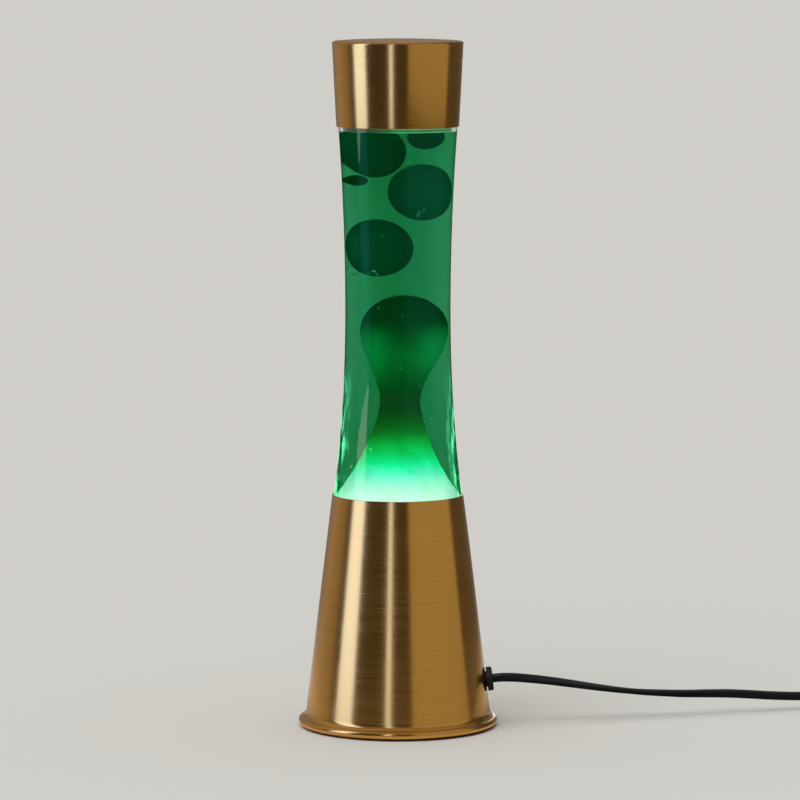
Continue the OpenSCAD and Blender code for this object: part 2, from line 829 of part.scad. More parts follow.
// Half outline of the bulb's glass, drawn in by inset: neck, cone, widest ring and front dome
function bulb_outline(inset) =
    let (
        dome = (pow(bulb_r, 2) + pow(bulb_len - bulb_dome_c, 2)) / (2 * (bulb_len - bulb_dome_c)),
        dome_a = asin((bulb_r - 1) / dome)
    )
    concat(
        [
            [0, bulb_tip_h + 2 + inset],
            [bulb_neck_r - inset, bulb_tip_h + 2 + inset],
            [bulb_neck_r - inset, bulb_tip_h + bulb_shell_h],
            [bulb_neck_r + 1.5 - inset, bulb_neck_h],
            [bulb_r - inset, bulb_bowl_h],
            [bulb_r - inset, bulb_dome_c]
        ],
        arc([0, bulb_len - dome], dome - inset, 90 - dome_a, 90, 8)
    );

module bulb_stem() {
    floor_z = bulb_z + bulb_tip_h + 2 + bulb_wall;
    color(clear_glass) {
        post(bulb_neck_r - bulb_wall - fit_gap, floor_z, floor_z + 2);
        post(stem_r, floor_z, bulb_z + stem_h);
    }
}

module bulb_filament() {
    top = bulb_z + filament_h;
    color(bare_steel) {
        for (x = [-1, 1])
            translate([x * stem_r / 2, 0, bulb_z + stem_h + filament_wire / 2])
                rotate([0, x * atan((filament_r - stem_r / 2) / (filament_h - stem_h)), 0])
                    cylinder(r = filament_wire, h = norm([filament_r - stem_r / 2, filament_h - stem_h]));
        for (x = [-1, 1])
            translate([x * filament_r, 0, top])
                sphere(r = 1.5 * filament_wire);
        translate([0, 0, top])
            rotate_extrude(angle = 180)
                translate([filament_r, 0])
                    circle(r = filament_wire);
    }
}

module bulb_screw_shell() {
    ridge = 0.4;
    turns = 5;
    inside = bulb_neck_r + fit_gap;
    rise = bulb_shell_h / turns;
    color(bare_steel)
        translate([0, 0, bulb_z + bulb_tip_h])
            rotate_extrude()
                polygon(concat(
                    [[inside, 0]],
                    [for (i = [0 : turns - 1]) each [
                        [bulb_shell_r - ridge, rise * i],
                        [bulb_shell_r, rise * (i + 0.5)]
                    ]],
                    [[bulb_shell_r - ridge, bulb_shell_h], [inside, bulb_shell_h]]
                ));
}

module bulb_contact() {
    color(black_plastic)
        translate([0, 0, bulb_z])
            rotate_extrude()
                polygon([
                    [0, 0], [2.2, 0], [2.6, 1.2], [3.4, 1.4], [bulb_neck_r, bulb_tip_h],
                    [bulb_neck_r, bulb_tip_h + 2 - fit_gap], [0, bulb_tip_h + 2 - fit_gap]
                ]);
}

// Bottle
module bottle_glass() {
    ring_r = bottle_r - heel_r - 3;
    punt_arc = (pow(ring_r, 2) + pow(punt_h, 2)) / (2 * punt_h);
    punt_a = asin(ring_r / punt_arc);
    lip_r = neck_r + finish_lip;
    color(clear_glass)
        difference() {
            rotate_extrude()
                polygon(concat(
                    arc([0, bottle_z + punt_h - punt_arc], punt_arc, 90, 90 - punt_a, 6),
                    arc([bottle_r - heel_r, bottle_z + heel_r], heel_r, -90, 0, 8),
                    side_points(base_h, waist_z, 0, 10),
                    side_points(waist_z, cap_z, 0, 10),
                    arc(shoulder_c, shoulder_r, 0, 90, 8),
                    arc(neck_fillet_c, neck_fillet, 270, 180, 8),
                    [
                        [neck_r, finish_top - finish_lip_h - 1],
                        [lip_r, finish_top - finish_lip_h],
                        [lip_r, finish_top - 1],
                        [lip_r - 1, finish_top],
                        [0, finish_top]
                    ]
                ));
            bottle_inside(glass_wall, finish_top + 1);
        }
}

// The space inside the bottle, drawn in by inset, up to the height top in its neck
module bottle_inside(inset, top) {
    floor_z = inner_floor + inset - glass_wall;
    wall_r = side_r(base_h, inset);
    heel = inner_heel;
    rotate_extrude()
        polygon(concat(
            [[0, floor_z]],
            arc([wall_r - heel, floor_z + heel], heel, -90, 0, 8),
            side_points(base_h, waist_z, inset, 10),
            side_points(waist_z, cap_z, inset, 10),
            arc(shoulder_c, shoulder_r - inset, 0, 90, 8),
            arc(neck_fillet_c, neck_fillet + inset, 270, 180, 8),
            [[neck_r - inset, top], [0, top]]
        ));
}

module bottle_crown() {
    color(bare_steel)
        difference() {
            union() {
                post(crown_bore + crown_t, crown_top - crown_skirt, crown_top);
                for (i = [0 : crown_flutes - 1])
                    post(
                        flute_r, crown_top - crown_skirt, crown_top - 1,
                        polar(i * 360 / crown_flutes, crown_bore + crown_t)
                    );
            }
            post(crown_bore, crown_top - crown_skirt - 1, crown_top - crown_t);
        }
}

module crown_seal() {
    color(pale_ceramic)
        post(crown_bore - fit_gap, finish_top, crown_top - crown_t);
}

module liquid() {
    color(green_liquid)
        difference() {
            intersection() {
                bottle_inside(glass_wall + fit_gap, level_z + 1);
                post(2 * bottle_r, bottle_z, level_z);
            }
            column_solid(wax_gap);
            globule(low_glob_at, low_glob_z, low_glob_r + wax_gap, low_glob_rise);
            globule(high_glob_at, high_glob_z, high_glob_r + wax_gap, high_glob_rise);
            globule(left_pool_at, left_pool_z, left_pool_r + wax_gap, 0);
            globule(right_pool_at, right_pool_z, right_pool_r + wax_gap, 0);
            globule(droplet_at, droplet_z, droplet_r + wax_gap, 0);
        }
}

// A round globule, with the room above it that its rise needs
module globule(at, z, r, rise) {
    translate([at[0], at[1], z]) {
        sphere(r = r);
        if (rise > 0) {
            cylinder(r = r, h = rise);
            translate([0, 0, rise])
                sphere(r = r);
        }
    }
}

// The wax column and its foot, swollen by grow
module column_solid(grow) {
    n = 12;
    low = inner_floor - base_h - 1;
    rotate_extrude()
        polygon(concat(
            [[0, base_h + low]],
            [for (i = [0 : n - 1])
                let (h = low + (column_neck_h - low) * i / n) [column_r(h) + grow, base_h + h]],
            [for (i = [0 : n - 1])
                let (h = column_neck_h + (column_head_h - column_neck_h) * i / n)
                [column_r(h) + grow, base_h + h]],
            [for (i = [0 : n - 1])
                let (a = 90 * i / n, rise = column_top_h - column_head_h)
                [(column_head_r + grow) * cos(a), base_h + column_head_h + (rise + grow) * sin(a)]],
            [[0, base_h + column_top_h + grow]]
        ));
}

module wax_column() {
    color(green_wax)
        difference() {
            intersection() {
                column_solid(0);
                bottle_inside(glass_wall + fit_gap, base_h + column_top_h);
            }
            wire_torus(wire_r + fit_gap);
        }
}

module wire_torus(r) {
    translate([0, 0, wire_z])
        rotate_extrude()
            translate([wire_ring_r, 0])
                circle(r = r);
}

module wax_wire_ring() {
    color(bare_steel)
        wire_torus(wire_r);
}

module wax_globule_low() {
    color(green_wax)
        globule(low_glob_at, low_glob_z, low_glob_r, 0);
}

module wax_globule_high() {
    color(green_wax)
        globule(high_glob_at, high_glob_z, high_glob_r, 0);
}

// The part of a globule that lies under the liquid's surface
module pool(at, z, r) {
    intersection() {
        globule(at, z, r, 0);
        post(2 * bottle_r, bottle_z, level_z);
    }
}

module wax_pool_left() {
    color(green_wax)
        pool(left_pool_at, left_pool_z, left_pool_r);
}

module wax_pool_right() {
    color(green_wax)
        pool(right_pool_at, right_pool_z, right_pool_r);
}

module wax_droplet() {
    color(green_wax)
        globule(droplet_at, droplet_z, droplet_r, 0);
}

// Cap
module cap_shell() {
    flank = atan(cap_flare / (cap_edge_z - cap_z));
    edge_c = [cap_rim_r - cap_edge_r, cap_edge_z - cap_edge_r];
    inner_z = cap_edge_z - cap_edge_r - shell_wall;
    color(brass_finish)
        rotate_extrude()
            polygon(concat(
                [[cap_low_r - shell_wall, cap_z], [cap_low_r, cap_z]],
                arc(edge_c, cap_edge_r, -flank, 75, 6),
                [for (i = [5 : -1 : 0])
                    let (r = (cap_rim_r - 2 * cap_edge_r) * i / 5) [r, dome_z(r)]],
                [[0, dome_z(0) - shell_wall]],
                [for (i = [1 : 5])
                    let (r = (cap_rim_r - 2 * cap_edge_r) * i / 5) [r, dome_z(r) - shell_wall]],
                [[cap_out(inner_z) - shell_wall, inner_z]]
            ));
}

module cap_spacer() {
    disc_top = crown_top + spacer_t;
    bore_r = crown_r + slip_gap;
    low = crown_top - spacer_edge_h;
    color(black_plastic)
        rotate_extrude()
            polygon([
                [0, crown_top],
                [bore_r, crown_top],
                [bore_r, crown_top - crown_skirt],
                [bore_r + spacer_wall, crown_top - crown_skirt],
                [bore_r + spacer_wall, crown_top],
                [cap_out(low) - shell_wall - spacer_wall, crown_top],
                [cap_out(low) - shell_wall - spacer_wall, low],
                [cap_out(low) - shell_wall - fit_gap, low],
                [cap_out(disc_top) - shell_wall - fit_gap, disc_top],
                [0, disc_top]
            ]);
}

// Cord with its switch, coil and plug
function lamp_way(i) =
    i == 0 ? bush_axis
        : i == len(lamp_route) - 1 ? [1, 0, 0]
            : way(lamp_route, i);

module lamp_cord() {
    color(black_rubber)
        tube([
            for (i = [0 : len(lamp_route) - 1])
                oval_ring(lamp_route[i], lamp_way(i), cord_w, cord_t, lamp_roll(lamp_route[i][0]), sides)
        ], sides);
}

// Puts what is drawn about the switch's middle in its place
module at_switch() {
    translate([switch_x, switch_y, 0])
        children();
}

module switch_half(z0, z1, floor_z, roof_z) {
    difference() {
        rounded_block(switch_l, switch_w, switch_corner, z0, z1);
        difference() {
            rounded_block(
                switch_l - 2 * switch_wall, switch_w - 2 * switch_wall, switch_corner - switch_wall,
                floor_z, roof_z
            );
            for (x = [-1, 1])
                post(switch_boss_r, z0, z1, [x * switch_boss_x, 0]);
        }
    }
}

module switch_lower_case() {
    color(black_plastic)
        at_switch()
            difference() {
                switch_half(0, switch_split, switch_wall, switch_split + 1);
                for (x = [-1, 1]) {
                    post(screw_r + fit_gap, -1, switch_split + 1, [x * switch_boss_x, 0]);
                    post(screw_head_r + fit_gap, -1, switch_screw_z, [x * switch_boss_x, 0]);
                }
            }
}

module switch_upper_case() {
    roof = switch_h - switch_wall;
    window = rocker_half + 2 * rocker_gap;
    ear_y = rocker_w / 2 + rocker_gap;
    color(black_plastic)
        at_switch()
            difference() {
                union() {
                    difference() {
                        switch_half(switch_split, switch_h, switch_split - 1, roof);
                        block(
                            [-window, -rocker_w / 2 - rocker_gap, roof - 1],
                            [window, rocker_w / 2 + rocker_gap, switch_h + 1]
                        );
                    }
                    for (s = [0, 1])
                        mirror([0, s, 0])
                            block(
                                [-ear_half, ear_y, rocker_z - ear_drop],
                                [ear_half, ear_y + ear_t, roof + 0.5]
                            );
                }
                for (x = [-1, 1])
                    post(screw_r + fit_gap, switch_split - 1, roof - 1, [x * switch_boss_x, 0]);
                translate([0, 0, rocker_z])
                    rotate([90, 0, 0])
                        cylinder(
                            r = rocker_pin_r + pin_seat_gap, h = 2 * (ear_y + ear_t) + 2,
                            center = true
                        );
            }
}

module switch_rocker() {
    color(grey_plastic)
        at_switch()
            translate([0, 0, rocker_z])
                rotate([0, -rocker_tilt, 0])
                    rotate([90, 0, 0])
                        difference() {
                            linear_extrude(rocker_w, center = true)
                                polygon([
                                    [-rocker_half + rocker_chamfer, -rocker_keel],
                                    [rocker_half - rocker_chamfer, -rocker_keel],
                                    [rocker_half, rocker_side],
                                    [0, rocker_ridge],
                                    [-rocker_half, rocker_side]
                                ]);
                            cylinder(r = rocker_pin_r + pin_gap_r, h = rocker_w + 2, center = true);
                        }
}

module rocker_pin() {
    color(bare_steel)
        at_switch()
            translate([0, 0, rocker_z])
                rotate([90, 0, 0])
                    cylinder(r = rocker_pin_r, h = rocker_w + 2 * rocker_gap + 2 * ear_t, center = true);
}

module switch_contacts() {
    color(yellow_brass)
        at_switch()
            for (x = [-1, 1])
                translate([x * tab_x, 0, switch_wall]) {
                    block([-tab_l / 2, -tab_w / 2, 0], [tab_l / 2, tab_w / 2, tab_t]);
                    block([-tab_t / 2, -tab_w / 2, 0], [tab_t / 2, tab_w / 2, tab_h]);
                }
}

module switch_screws() {
    color(bare_steel)
        at_switch()
            for (x = [-1, 1])
                screw([x * switch_boss_x, 0], switch_screw_z, switch_split + 2, 1);
}

module switch_bushes() {
    color(black_rubber)
        at_switch()
            for (s = [0, 1])
                mirror([s, 0, 0])
                    translate([switch_l / 2, 0, switch_split])
                        rotate([0, 90, 0])
                            cylinder(
                                r1 = switch_bush_r + switch_bush_flare, r2 = switch_bush_r,
                                h = switch_bush_l
                            );
}

module switch_lead() {
    start = [switch_x + switch_l / 2 + switch_bush_l, switch_y, switch_split];
    end = coil_route[0];
    n = 4;
    color(black_rubber)
        tube([
            for (i = [0 : n])
                oval_ring(eased_point(start, end, i / n), [1, 0, 0], cord_w, cord_t, 0, sides)
        ], sides);
}

module cord_coil() {
    color(black_rubber)
        tube(coil_rings, coil_sides);
}

module coil_tie() {
    x0 = coil_x - coil_outer - cord_t / 2 - tie_gap;
    x1 = coil_x - coil_inner + cord_t / 2 + tie_gap;
    z0 = coil_z - cord_w / 2 - tie_gap / 4;
    z1 = coil_z + layer_rise + cord_w / 2 + tie_gap;
    color(grey_plastic)
        difference() {
            block(
                [x0 - tie_t, coil_y - tie_w / 2, z0 - tie_t],
                [x1 + tie_t, coil_y + tie_w / 2, z1 + tie_t]
            );
            block([x0, coil_y - tie_w, z0], [x1, coil_y + tie_w, z1]);
        }
}

module plug_lead() {
    start = coil_route[len(coil_route) - 1];
    end = [plug_x, relief_end_y, plug_z];
    n = 4;
    color(black_rubber)
        tube([
            for (i = [0 : n])
                oval_ring(eased_point(start, end, i / n), [0, -1, 0], cord_w, cord_t, 0, sides)
        ], sides);
}

// Puts what is drawn along X, with the plug's front at the origin, in its place
module at_plug() {
    translate([plug_x, plug_front_y, 0])
        rotate([0, 0, 90])
            children();
}

module plug_body() {
    flank = plug_l * 0.45;
    rib = relief_l / relief_ribs;
    color(black_plastic) {
        at_plug()
            linear_extrude(plug_t)
                polygon([
                    [0, -plug_w / 2 + plug_edge], [plug_edge, -plug_w / 2], [flank, -plug_w / 2],
                    [plug_l, -plug_neck_w / 2], [plug_l, plug_neck_w / 2],
                    [flank, plug_w / 2], [plug_edge, plug_w / 2], [0, plug_w / 2 - plug_edge]
                ]);
        at_plug()
            translate([plug_l - 1, 0, plug_z])
                rotate([0, 90, 0])
                    rotate_extrude()
                        polygon(concat(
                            [[0, 0], [relief_root_r, 0]],
                            [for (i = [0 : relief_ribs - 1])
                                let (r = relief_root_r - relief_taper * (i + 1))
                                each [[r, 1 + rib * (i + 0.3)], [r, 1 + rib * (i + 1)]]],
                            [[0, 1 + relief_l]]
                        ));
    }
}

module plug_pins() {
    color(yellow_brass)
        at_plug()
            for (s = [-1, 1])
                translate([0, s * pin_gap / 2, plug_z])
                    rotate([0, -90, 0]) {
                        cylinder(r = pin_r, h = pin_l - pin_r);
                        translate([0, 0, pin_l - pin_r])
                            sphere(r = pin_r);
                    }
}

base_shell();
seat_ring();
seat_pad();
support_posts();
bottom_plate();
bottom_plate_screws();
rubber_feet();
holder_bracket();
bracket_screws();
holder_screws();
holder_base();
holder_sleeve();
holder_thread_shell();
holder_contact();
holder_terminals();
cord_bush();
inner_lead();
lead_cores();
cord_clamp();
clamp_screw();
bulb_glass();
bulb_stem();
bulb_filament();
bulb_screw_shell();
bulb_contact();
bottle_glass();
bottle_crown();
crown_seal();
liquid();
wax_column();
wax_wire_ring();
wax_globule_low();
wax_globule_high();
wax_pool_left();
wax_pool_right();
wax_droplet();
cap_shell();
cap_spacer();
lamp_cord();
switch_lower_case();
switch_upper_case();
switch_rocker();
rocker_pin();
switch_contacts();
switch_screws();
switch_bushes();
switch_lead();
cord_coil();
echo(least_gap_of_coil = coil_clear());  // cord_coil
coil_tie();
plug_lead();
plug_body();
plug_pins();
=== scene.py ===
import json
import math
import bpy
import bmesh
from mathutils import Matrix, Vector


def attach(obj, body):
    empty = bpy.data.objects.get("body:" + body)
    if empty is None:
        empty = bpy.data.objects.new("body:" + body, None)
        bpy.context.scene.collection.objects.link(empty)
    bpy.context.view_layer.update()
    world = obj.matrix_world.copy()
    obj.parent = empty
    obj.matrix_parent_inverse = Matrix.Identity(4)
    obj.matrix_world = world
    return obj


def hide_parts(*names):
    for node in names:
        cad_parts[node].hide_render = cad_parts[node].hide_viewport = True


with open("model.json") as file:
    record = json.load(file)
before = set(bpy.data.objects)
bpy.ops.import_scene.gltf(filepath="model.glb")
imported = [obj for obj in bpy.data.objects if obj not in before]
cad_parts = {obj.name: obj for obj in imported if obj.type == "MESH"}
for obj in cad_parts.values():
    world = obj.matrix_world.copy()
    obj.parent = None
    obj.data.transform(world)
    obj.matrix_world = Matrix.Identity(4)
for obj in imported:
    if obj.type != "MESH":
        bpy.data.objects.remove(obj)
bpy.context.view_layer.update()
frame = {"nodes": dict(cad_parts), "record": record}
scene = bpy.context.scene
scene.view_settings.view_transform = "Standard"
mm = 0.001
tiny = 1e-6
print("frame loaded:", len(frame["nodes"]), "nodes")


# camera at the photo's angle, from the outline of the lamp
cameraSet = dict(place=(0.0012, -2.63, 0.473), pitch=6.125, lens=205.0, sensor=36.0, reach=300.0)
cameraData = bpy.data.cameras.new("lampCamera")
cameraData.lens = cameraSet["lens"]
cameraData.sensor_width = cameraSet["sensor"]
cameraData.clip_end = cameraSet["reach"]
camera = bpy.data.objects.new("lampCamera", cameraData)
camera.location = cameraSet["place"]
camera.rotation_euler = (math.radians(90 - cameraSet["pitch"]), 0, 0)
scene.collection.objects.link(camera)
scene.camera = camera


# shader maths: sockets that can be added, multiplied and so on
class Sock:
    def __init__(self, tree, link):
        self.tree, self.link = tree, link

    def maths(self, operation, a, b):
        node = self.tree.nodes.new("ShaderNodeMath")
        node.operation = operation
        for slot, value in zip(node.inputs, (a, b)):
            if isinstance(value, Sock):
                self.tree.links.new(value.link, slot)
            else:
                slot.default_value = value
        return Sock(self.tree, node.outputs[0])

    def __add__(self, other):
        return self.maths("ADD", self, other)

    def __radd__(self, other):
        return self.maths("ADD", other, self)

    def __sub__(self, other):
        return self.maths("SUBTRACT", self, other)

    def __rsub__(self, other):
        return self.maths("SUBTRACT", other, self)

    def __mul__(self, other):
        return self.maths("MULTIPLY", self, other)

    def __rmul__(self, other):
        return self.maths("MULTIPLY", other, self)

    def __truediv__(self, other):
        return self.maths("DIVIDE", self, other)

    def __rtruediv__(self, other):
        return self.maths("DIVIDE", other, self)

    def atLeast(self, other):
        return self.maths("MAXIMUM", self, other)

    def atMost(self, other):
        return self.maths("MINIMUM", self, other)

    def clamped(self):
        return self.atLeast(0.0).atMost(1.0)


# a node tree; node() adds one node, sets it, links it and gives back one output
class Graph:
    def __init__(self, tree, prefix):
        self.tree, self.prefix = tree, prefix

    def node(self, kind, settings=None, inputs=None, output=0):
        made = self.tree.nodes.new(self.prefix + kind)
        for key, value in (settings or {}).items():
            if key == "stops":
                ramp = made.color_ramp.elements
                while len(ramp) < len(value):
                    ramp.new(1.0)
                for stop, (place, shade) in zip(ramp, value):
                    stop.position, stop.color = place, (*shade, 1.0)
            else:
                setattr(made, key, value)
        for key, value in (inputs or {}).items():
            if isinstance(value, Sock):
                self.tree.links.new(value.link, made.inputs[key])
            else:
                made.inputs[key].default_value = value
        return Sock(self.tree, made.outputs[output])


class Finish(Graph):
    def __init__(self, name, holder=None):
        self.material = holder or bpy.data.materials.new(name)
        self.material.use_nodes = True
        super().__init__(self.material.node_tree, "ShaderNode")
        self.tree.nodes.clear()
        self.out = self.tree.nodes.new("ShaderNodeOutputWorld" if holder else "ShaderNodeOutputMaterial")

    def point(self, scale=(1, 1, 1)):
        spot = self.node("TexCoord", output="Object")
        return self.node("Mapping", None, {"Vector": spot, "Scale": scale})

    # one coordinate, in mm
    def along(self, axis):
        return self.node("SeparateXYZ", None, {0: self.point()}, axis) / mm

    def noise(self, scale, detail=3.0, stretch=(1, 1, 1), rough=0.55):
        return self.node("TexNoise", None, {
            "Vector": self.point(stretch), "Scale": scale, "Detail": detail, "Roughness": rough})

    def blend(self, factor, first, second):
        return self.node("Mix", {"data_type": "RGBA"}, {0: factor, 6: first, 7: second}, 2)

    def bump(self, height, distance):
        return self.node("Bump", None, {"Strength": 1.0, "Distance": distance, "Height": height})

    def surface(self, shader):
        self.tree.links.new(shader.link, self.out.inputs["Surface"])
        return self.material

    # light that casts shadows passes with no more than a tint
    def shadowless(self, shader, tint):
        letThrough = self.node("BsdfTransparent", None, {"Color": tint})
        shadow = self.node("LightPath", output="Is Shadow Ray")
        return self.surface(self.node("MixShader", None, {0: shadow, 1: shader, 2: letThrough}))


def tone(r, g, b):
    return (r, g, b, 1.0)


# brass finish with fine lines that run round the axis
brassSet = dict(pale=tone(0.90, 0.47, 0.115), deep=tone(0.62, 0.29, 0.052), middle=0.55, rough=0.215,
                leastRough=0.15, acrossLines=34, lines=1900.0, lineDepth=0.0000012, lineTone=0.9,
                lineRough=0.22, cloud=22.0, cloudTone=0.25, cloudRough=0.06, stretch=0.55, stretchTurn=0.25)


def turnedBrass(name, s=brassSet):
    f = Finish(name)
    lines = f.noise(1.0, 2.0, (s["acrossLines"], s["acrossLines"], s["lines"]), 0.65)
    cloud = f.noise(s["cloud"], 3.0)
    worn = (lines - 0.5) * s["lineTone"] + (cloud - 0.5) * s["cloudTone"] + s["middle"]
    shade = f.blend(worn.clamped(), s["deep"], s["pale"])
    rough = s["rough"] + (lines - 0.5) * s["lineRough"] + (cloud - 0.5) * s["cloudRough"]
    return f.surface(f.node("BsdfPrincipled", None, {
        "Base Color": shade, "Metallic": 1.0, "Roughness": rough.atLeast(s["leastRough"]),
        "Anisotropic": s["stretch"], "Anisotropic Rotation": s["stretchTurn"],
        "Normal": f.bump(lines, s["lineDepth"])}))


# pressed metal parts and moulded parts; rough is the middle of what the cloud varies
metalSet = dict(cloud=60.0, cloudRough=0.2, grain=900.0, depth=0.00001)
mouldSet = dict(cloud=45.0, cloudRough=0.16, grainRough=0.06)


def plainMetal(name, pale, deep, rough, s=metalSet):
    f = Finish(name)
    cloud = f.noise(s["cloud"], 4.0)
    fine = f.noise(s["grain"], 2.0)
    return f.surface(f.node("BsdfPrincipled", None, {
        "Base Color": f.blend(cloud, deep, pale), "Metallic": 1.0,
        "Roughness": rough + (cloud - 0.5) * s["cloudRough"], "Normal": f.bump(fine, s["depth"])}))


def moulded(name, pale, deep, rough, grain=1400.0, depth=0.00002, s=mouldSet):
    f = Finish(name)
    cloud = f.noise(s["cloud"], 4.0)
    fine = f.noise(grain, 3.0)
    return f.surface(f.node("BsdfPrincipled", None, {
        "Base Color": f.blend(cloud, deep, pale),
        "Roughness": rough + (cloud - 0.5) * s["cloudRough"] + (fine - 0.5) * s["grainRough"],
        "Specular IOR Level": 0.5, "Normal": f.bump(fine, depth)}))


# drawn glass is a little wavy along its height
glassSet = dict(cloud=30.0, waves=(150, 150, 22), specular=0.4)


def clearGlass(name, tint, deep, ior, wave=0.0, shine=None, s=glassSet):
    f = Finish(name)
    cloud = f.noise(s["cloud"], 2.0)
    waves = f.noise(1.0, 2.0, s["waves"])
    glass = f.node("BsdfPrincipled", None, {
        "Base Color": f.blend(cloud, deep, tint), "Roughness": 0.0, "IOR": ior, "Transmission Weight": 1.0,
        "Specular IOR Level": s["specular"], "Normal": f.bump(waves, wave)})
    # painted glints at the edges, where a shine is given
    if shine:
        glow = f.node("Emission", None, {"Color": shine["colour"], "Strength": shine["strength"]})
        glass = f.node("MixShader", None, {0: edgeGlow(f, shine), 1: glass, 2: glow})
    return f.shadowless(glass, tint)


# painted glints: the glow of the foot, running up inside the glass, is painted as a glow in broken streaks
# where the wall is seen edge-on
edgeSet = dict(colour=tone(0.12, 0.95, 0.42), strength=2.1, top=216.0, fade=50.0, most=0.9, facing=0.43,
               rise=3.0, streaks=(190, 190, 62), gap=0.49, crisp=6.0)


def edgeGlow(f, s):
    facing = f.node("LayerWeight", None, {"Blend": 0.5}, "Facing")
    edge = ((facing - s["facing"]) * s["rise"]).atLeast(0.0)
    broken = ((f.noise(1.0, 3.0, s["streaks"], 0.62) - s["gap"]) * s["crisp"]).clamped()
    low = ((s["top"] - f.along("Z")) / s["fade"]).clamped()
    return (edge * broken * low).atMost(1.0) * s["most"]


# the liquid's pull on light, for each metre of path
liquidSet = dict(colour=tone(0.206, 0.774, 0.553), density=100.0, clear=tone(1.0, 1.0, 1.0),
                 tinge=tone(0.985, 1.0, 0.99), cloud=18.0)


def greenLiquid(name, s=liquidSet):
    f = Finish(name)
    cloud = f.noise(s["cloud"], 2.0)
    body = f.node("BsdfPrincipled", None, {
        "Base Color": f.blend(cloud, s["tinge"], s["clear"]), "Roughness": 0.0, "IOR": 1.0,
        "Transmission Weight": 1.0})
    depth = f.node("VolumeAbsorption", None, {"Color": s["colour"], "Density": s["density"]})
    f.tree.links.new(depth.link, f.out.inputs["Volume"])
    return f.shadowless(body, s["clear"])


# the liquid's edge against the glass has two painted highlight lines, glowing most of all on the right, and
# is painted dark on the left; sizes in mm
levelZ, levelGap = 347.2, 0.1
meniscusSet = dict(fromX=-14.0, overX=12.0, line=0.55, lineEnd=1.3, second=3.4, secondShare=0.5,
                   grain=70.0, gap=0.36, crisp=5.0, strength=0.8, dark=tone(0.0, 0.030, 0.006),
                   filmGlow=tone(0.0, 0.13, 0.035), bright=tone(0.14, 0.66, 0.24),
                   deep=tone(0.003, 0.04, 0.015), pale=tone(0.008, 0.08, 0.03))


def meniscusShine(name, s=meniscusSet):
    f = Finish(name)
    broken = f.noise(s["grain"], 3.0)
    streak = ((broken - s["gap"]) * s["crisp"]).clamped()
    right = ((f.along("X") - s["fromX"]) / s["overX"]).clamped()
    above = (f.along("Z") - levelZ) / s["line"]
    second = above - s["second"]
    upper = (1.0 - second * second).atLeast(0.0) * s["secondShare"]
    edge = ((s["lineEnd"] - above).atLeast(0.0) + upper).atMost(1.0)
    # painted highlight: bright broken lines over a dim painted glow on the right, painted dark on the left
    glow = f.blend(right, s["dark"], f.blend(streak * edge, s["filmGlow"], s["bright"]))
    return f.surface(f.node("BsdfPrincipled", None, {
        "Base Color": f.blend(broken, s["deep"], s["pale"]), "Roughness": 0.5, "Specular IOR Level": 0.0,
        "Emission Color": glow, "Emission Strength": s["strength"]}))


# wax: the bulb's light in it is painted as a glow, bright where the bulb reaches it and dark above that; a
# little painted light leaks into the column's head
waxSet = dict(low=118.0, high=360.0, strength=2.0, base=tone(0.0004, 0.012, 0.003),
              pale=tone(0.001, 0.022, 0.006), waves=60.0, waveHigh=10.0, ripples=190.0, rippleHigh=4.0,
              mottle=70.0, mottleLeast=0.75, mottleMore=0.5, leak=tone(0.0, 0.125, 0.026), leakZ=215.0,
              leakHalf=21.0, leakX=2.6, leakReach=13.0, leakLeast=0.7, leakMore=0.6)
waxStops = [  # height in mm, then the glow there
    (118, (0.70, 0.72, 0.68)), (137, (0.63, 0.67, 0.62)), (143, (0.48, 0.70, 0.61)),
    (149, (0.17, 0.71, 0.57)), (154, (0.012, 0.65, 0.33)), (160, (0.002, 0.50, 0.145)),
    (166, (0.0, 0.31, 0.045)), (172, (0.0, 0.13, 0.0105)), (178, (0.0, 0.078, 0.0065)),
    (184, (0.0, 0.042, 0.0055)), (198, (0.0, 0.036, 0.0055)), (206, (0.0, 0.050, 0.006)),
    (213, (0.0, 0.070, 0.009)), (219, (0.0, 0.068, 0.008)), (225, (0.0, 0.048, 0.005)),
    (231, (0.0, 0.031, 0.004)), (241, (0.0, 0.018, 0.003)), (258, (0.0, 0.021, 0.006)),
    (300, (0.0, 0.022, 0.0085)), (340, (0.0, 0.026, 0.0095)), (360, (0.0, 0.045, 0.016))]


def glowingWax(name, s=waxSet, stops=waxStops):
    f = Finish(name)
    height = f.along("Z")
    across = f.along("X") - s["leakX"]
    waves = f.noise(s["waves"], 3.0)
    ripples = f.noise(s["ripples"], 2.0)
    span = s["high"] - s["low"]
    level = (height - s["low"] + (waves - 0.5) * s["waveHigh"] + (ripples - 0.5) * s["rippleHigh"]) / span
    glow = f.node("ValToRGB", {"stops": [((z - s["low"]) / span, shade) for z, shade in stops]}, {0: level})
    # painted light in the column's head, stronger towards its sides; the whole painted glow is then mottled
    rise = (height - s["leakZ"]) / s["leakHalf"]
    near = (1.0 - rise * rise).atLeast(0.0)
    aside = ((across * across) / s["leakReach"] ** 2).atMost(1.0)
    lit = f.blend(near * aside * (waves * s["leakMore"] + s["leakLeast"]), glow, s["leak"])
    mottle = f.noise(s["mottle"], 2.0) * s["mottleMore"] + s["mottleLeast"]
    lit = f.node("VectorMath", {"operation": "SCALE"}, {0: lit, "Scale": mottle})
    return f.surface(f.node("BsdfPrincipled", None, {
        "Base Color": f.blend(waves, s["base"], s["pale"]), "Roughness": 0.5, "Specular IOR Level": 0.0,
        "Emission Color": lit, "Emission Strength": s["strength"]}))


# fine beads near the foot catch the glow, which is painted on them as a glow by height; higher up they are
# clear bubbles
shineSet = dict(lowZ=140.0, span=90.0, cloud=90.0, wander=20.0, rough=0.3, deep=tone(0.06, 0.30, 0.16),
                pale=tone(0.12, 0.42, 0.24))
shineStops = [(0.0, (0.55, 0.95, 0.75)), (0.35, (0.16, 0.80, 0.42)), (0.7, (0.05, 0.34, 0.17)),
              (1.0, (0.03, 0.16, 0.09))]


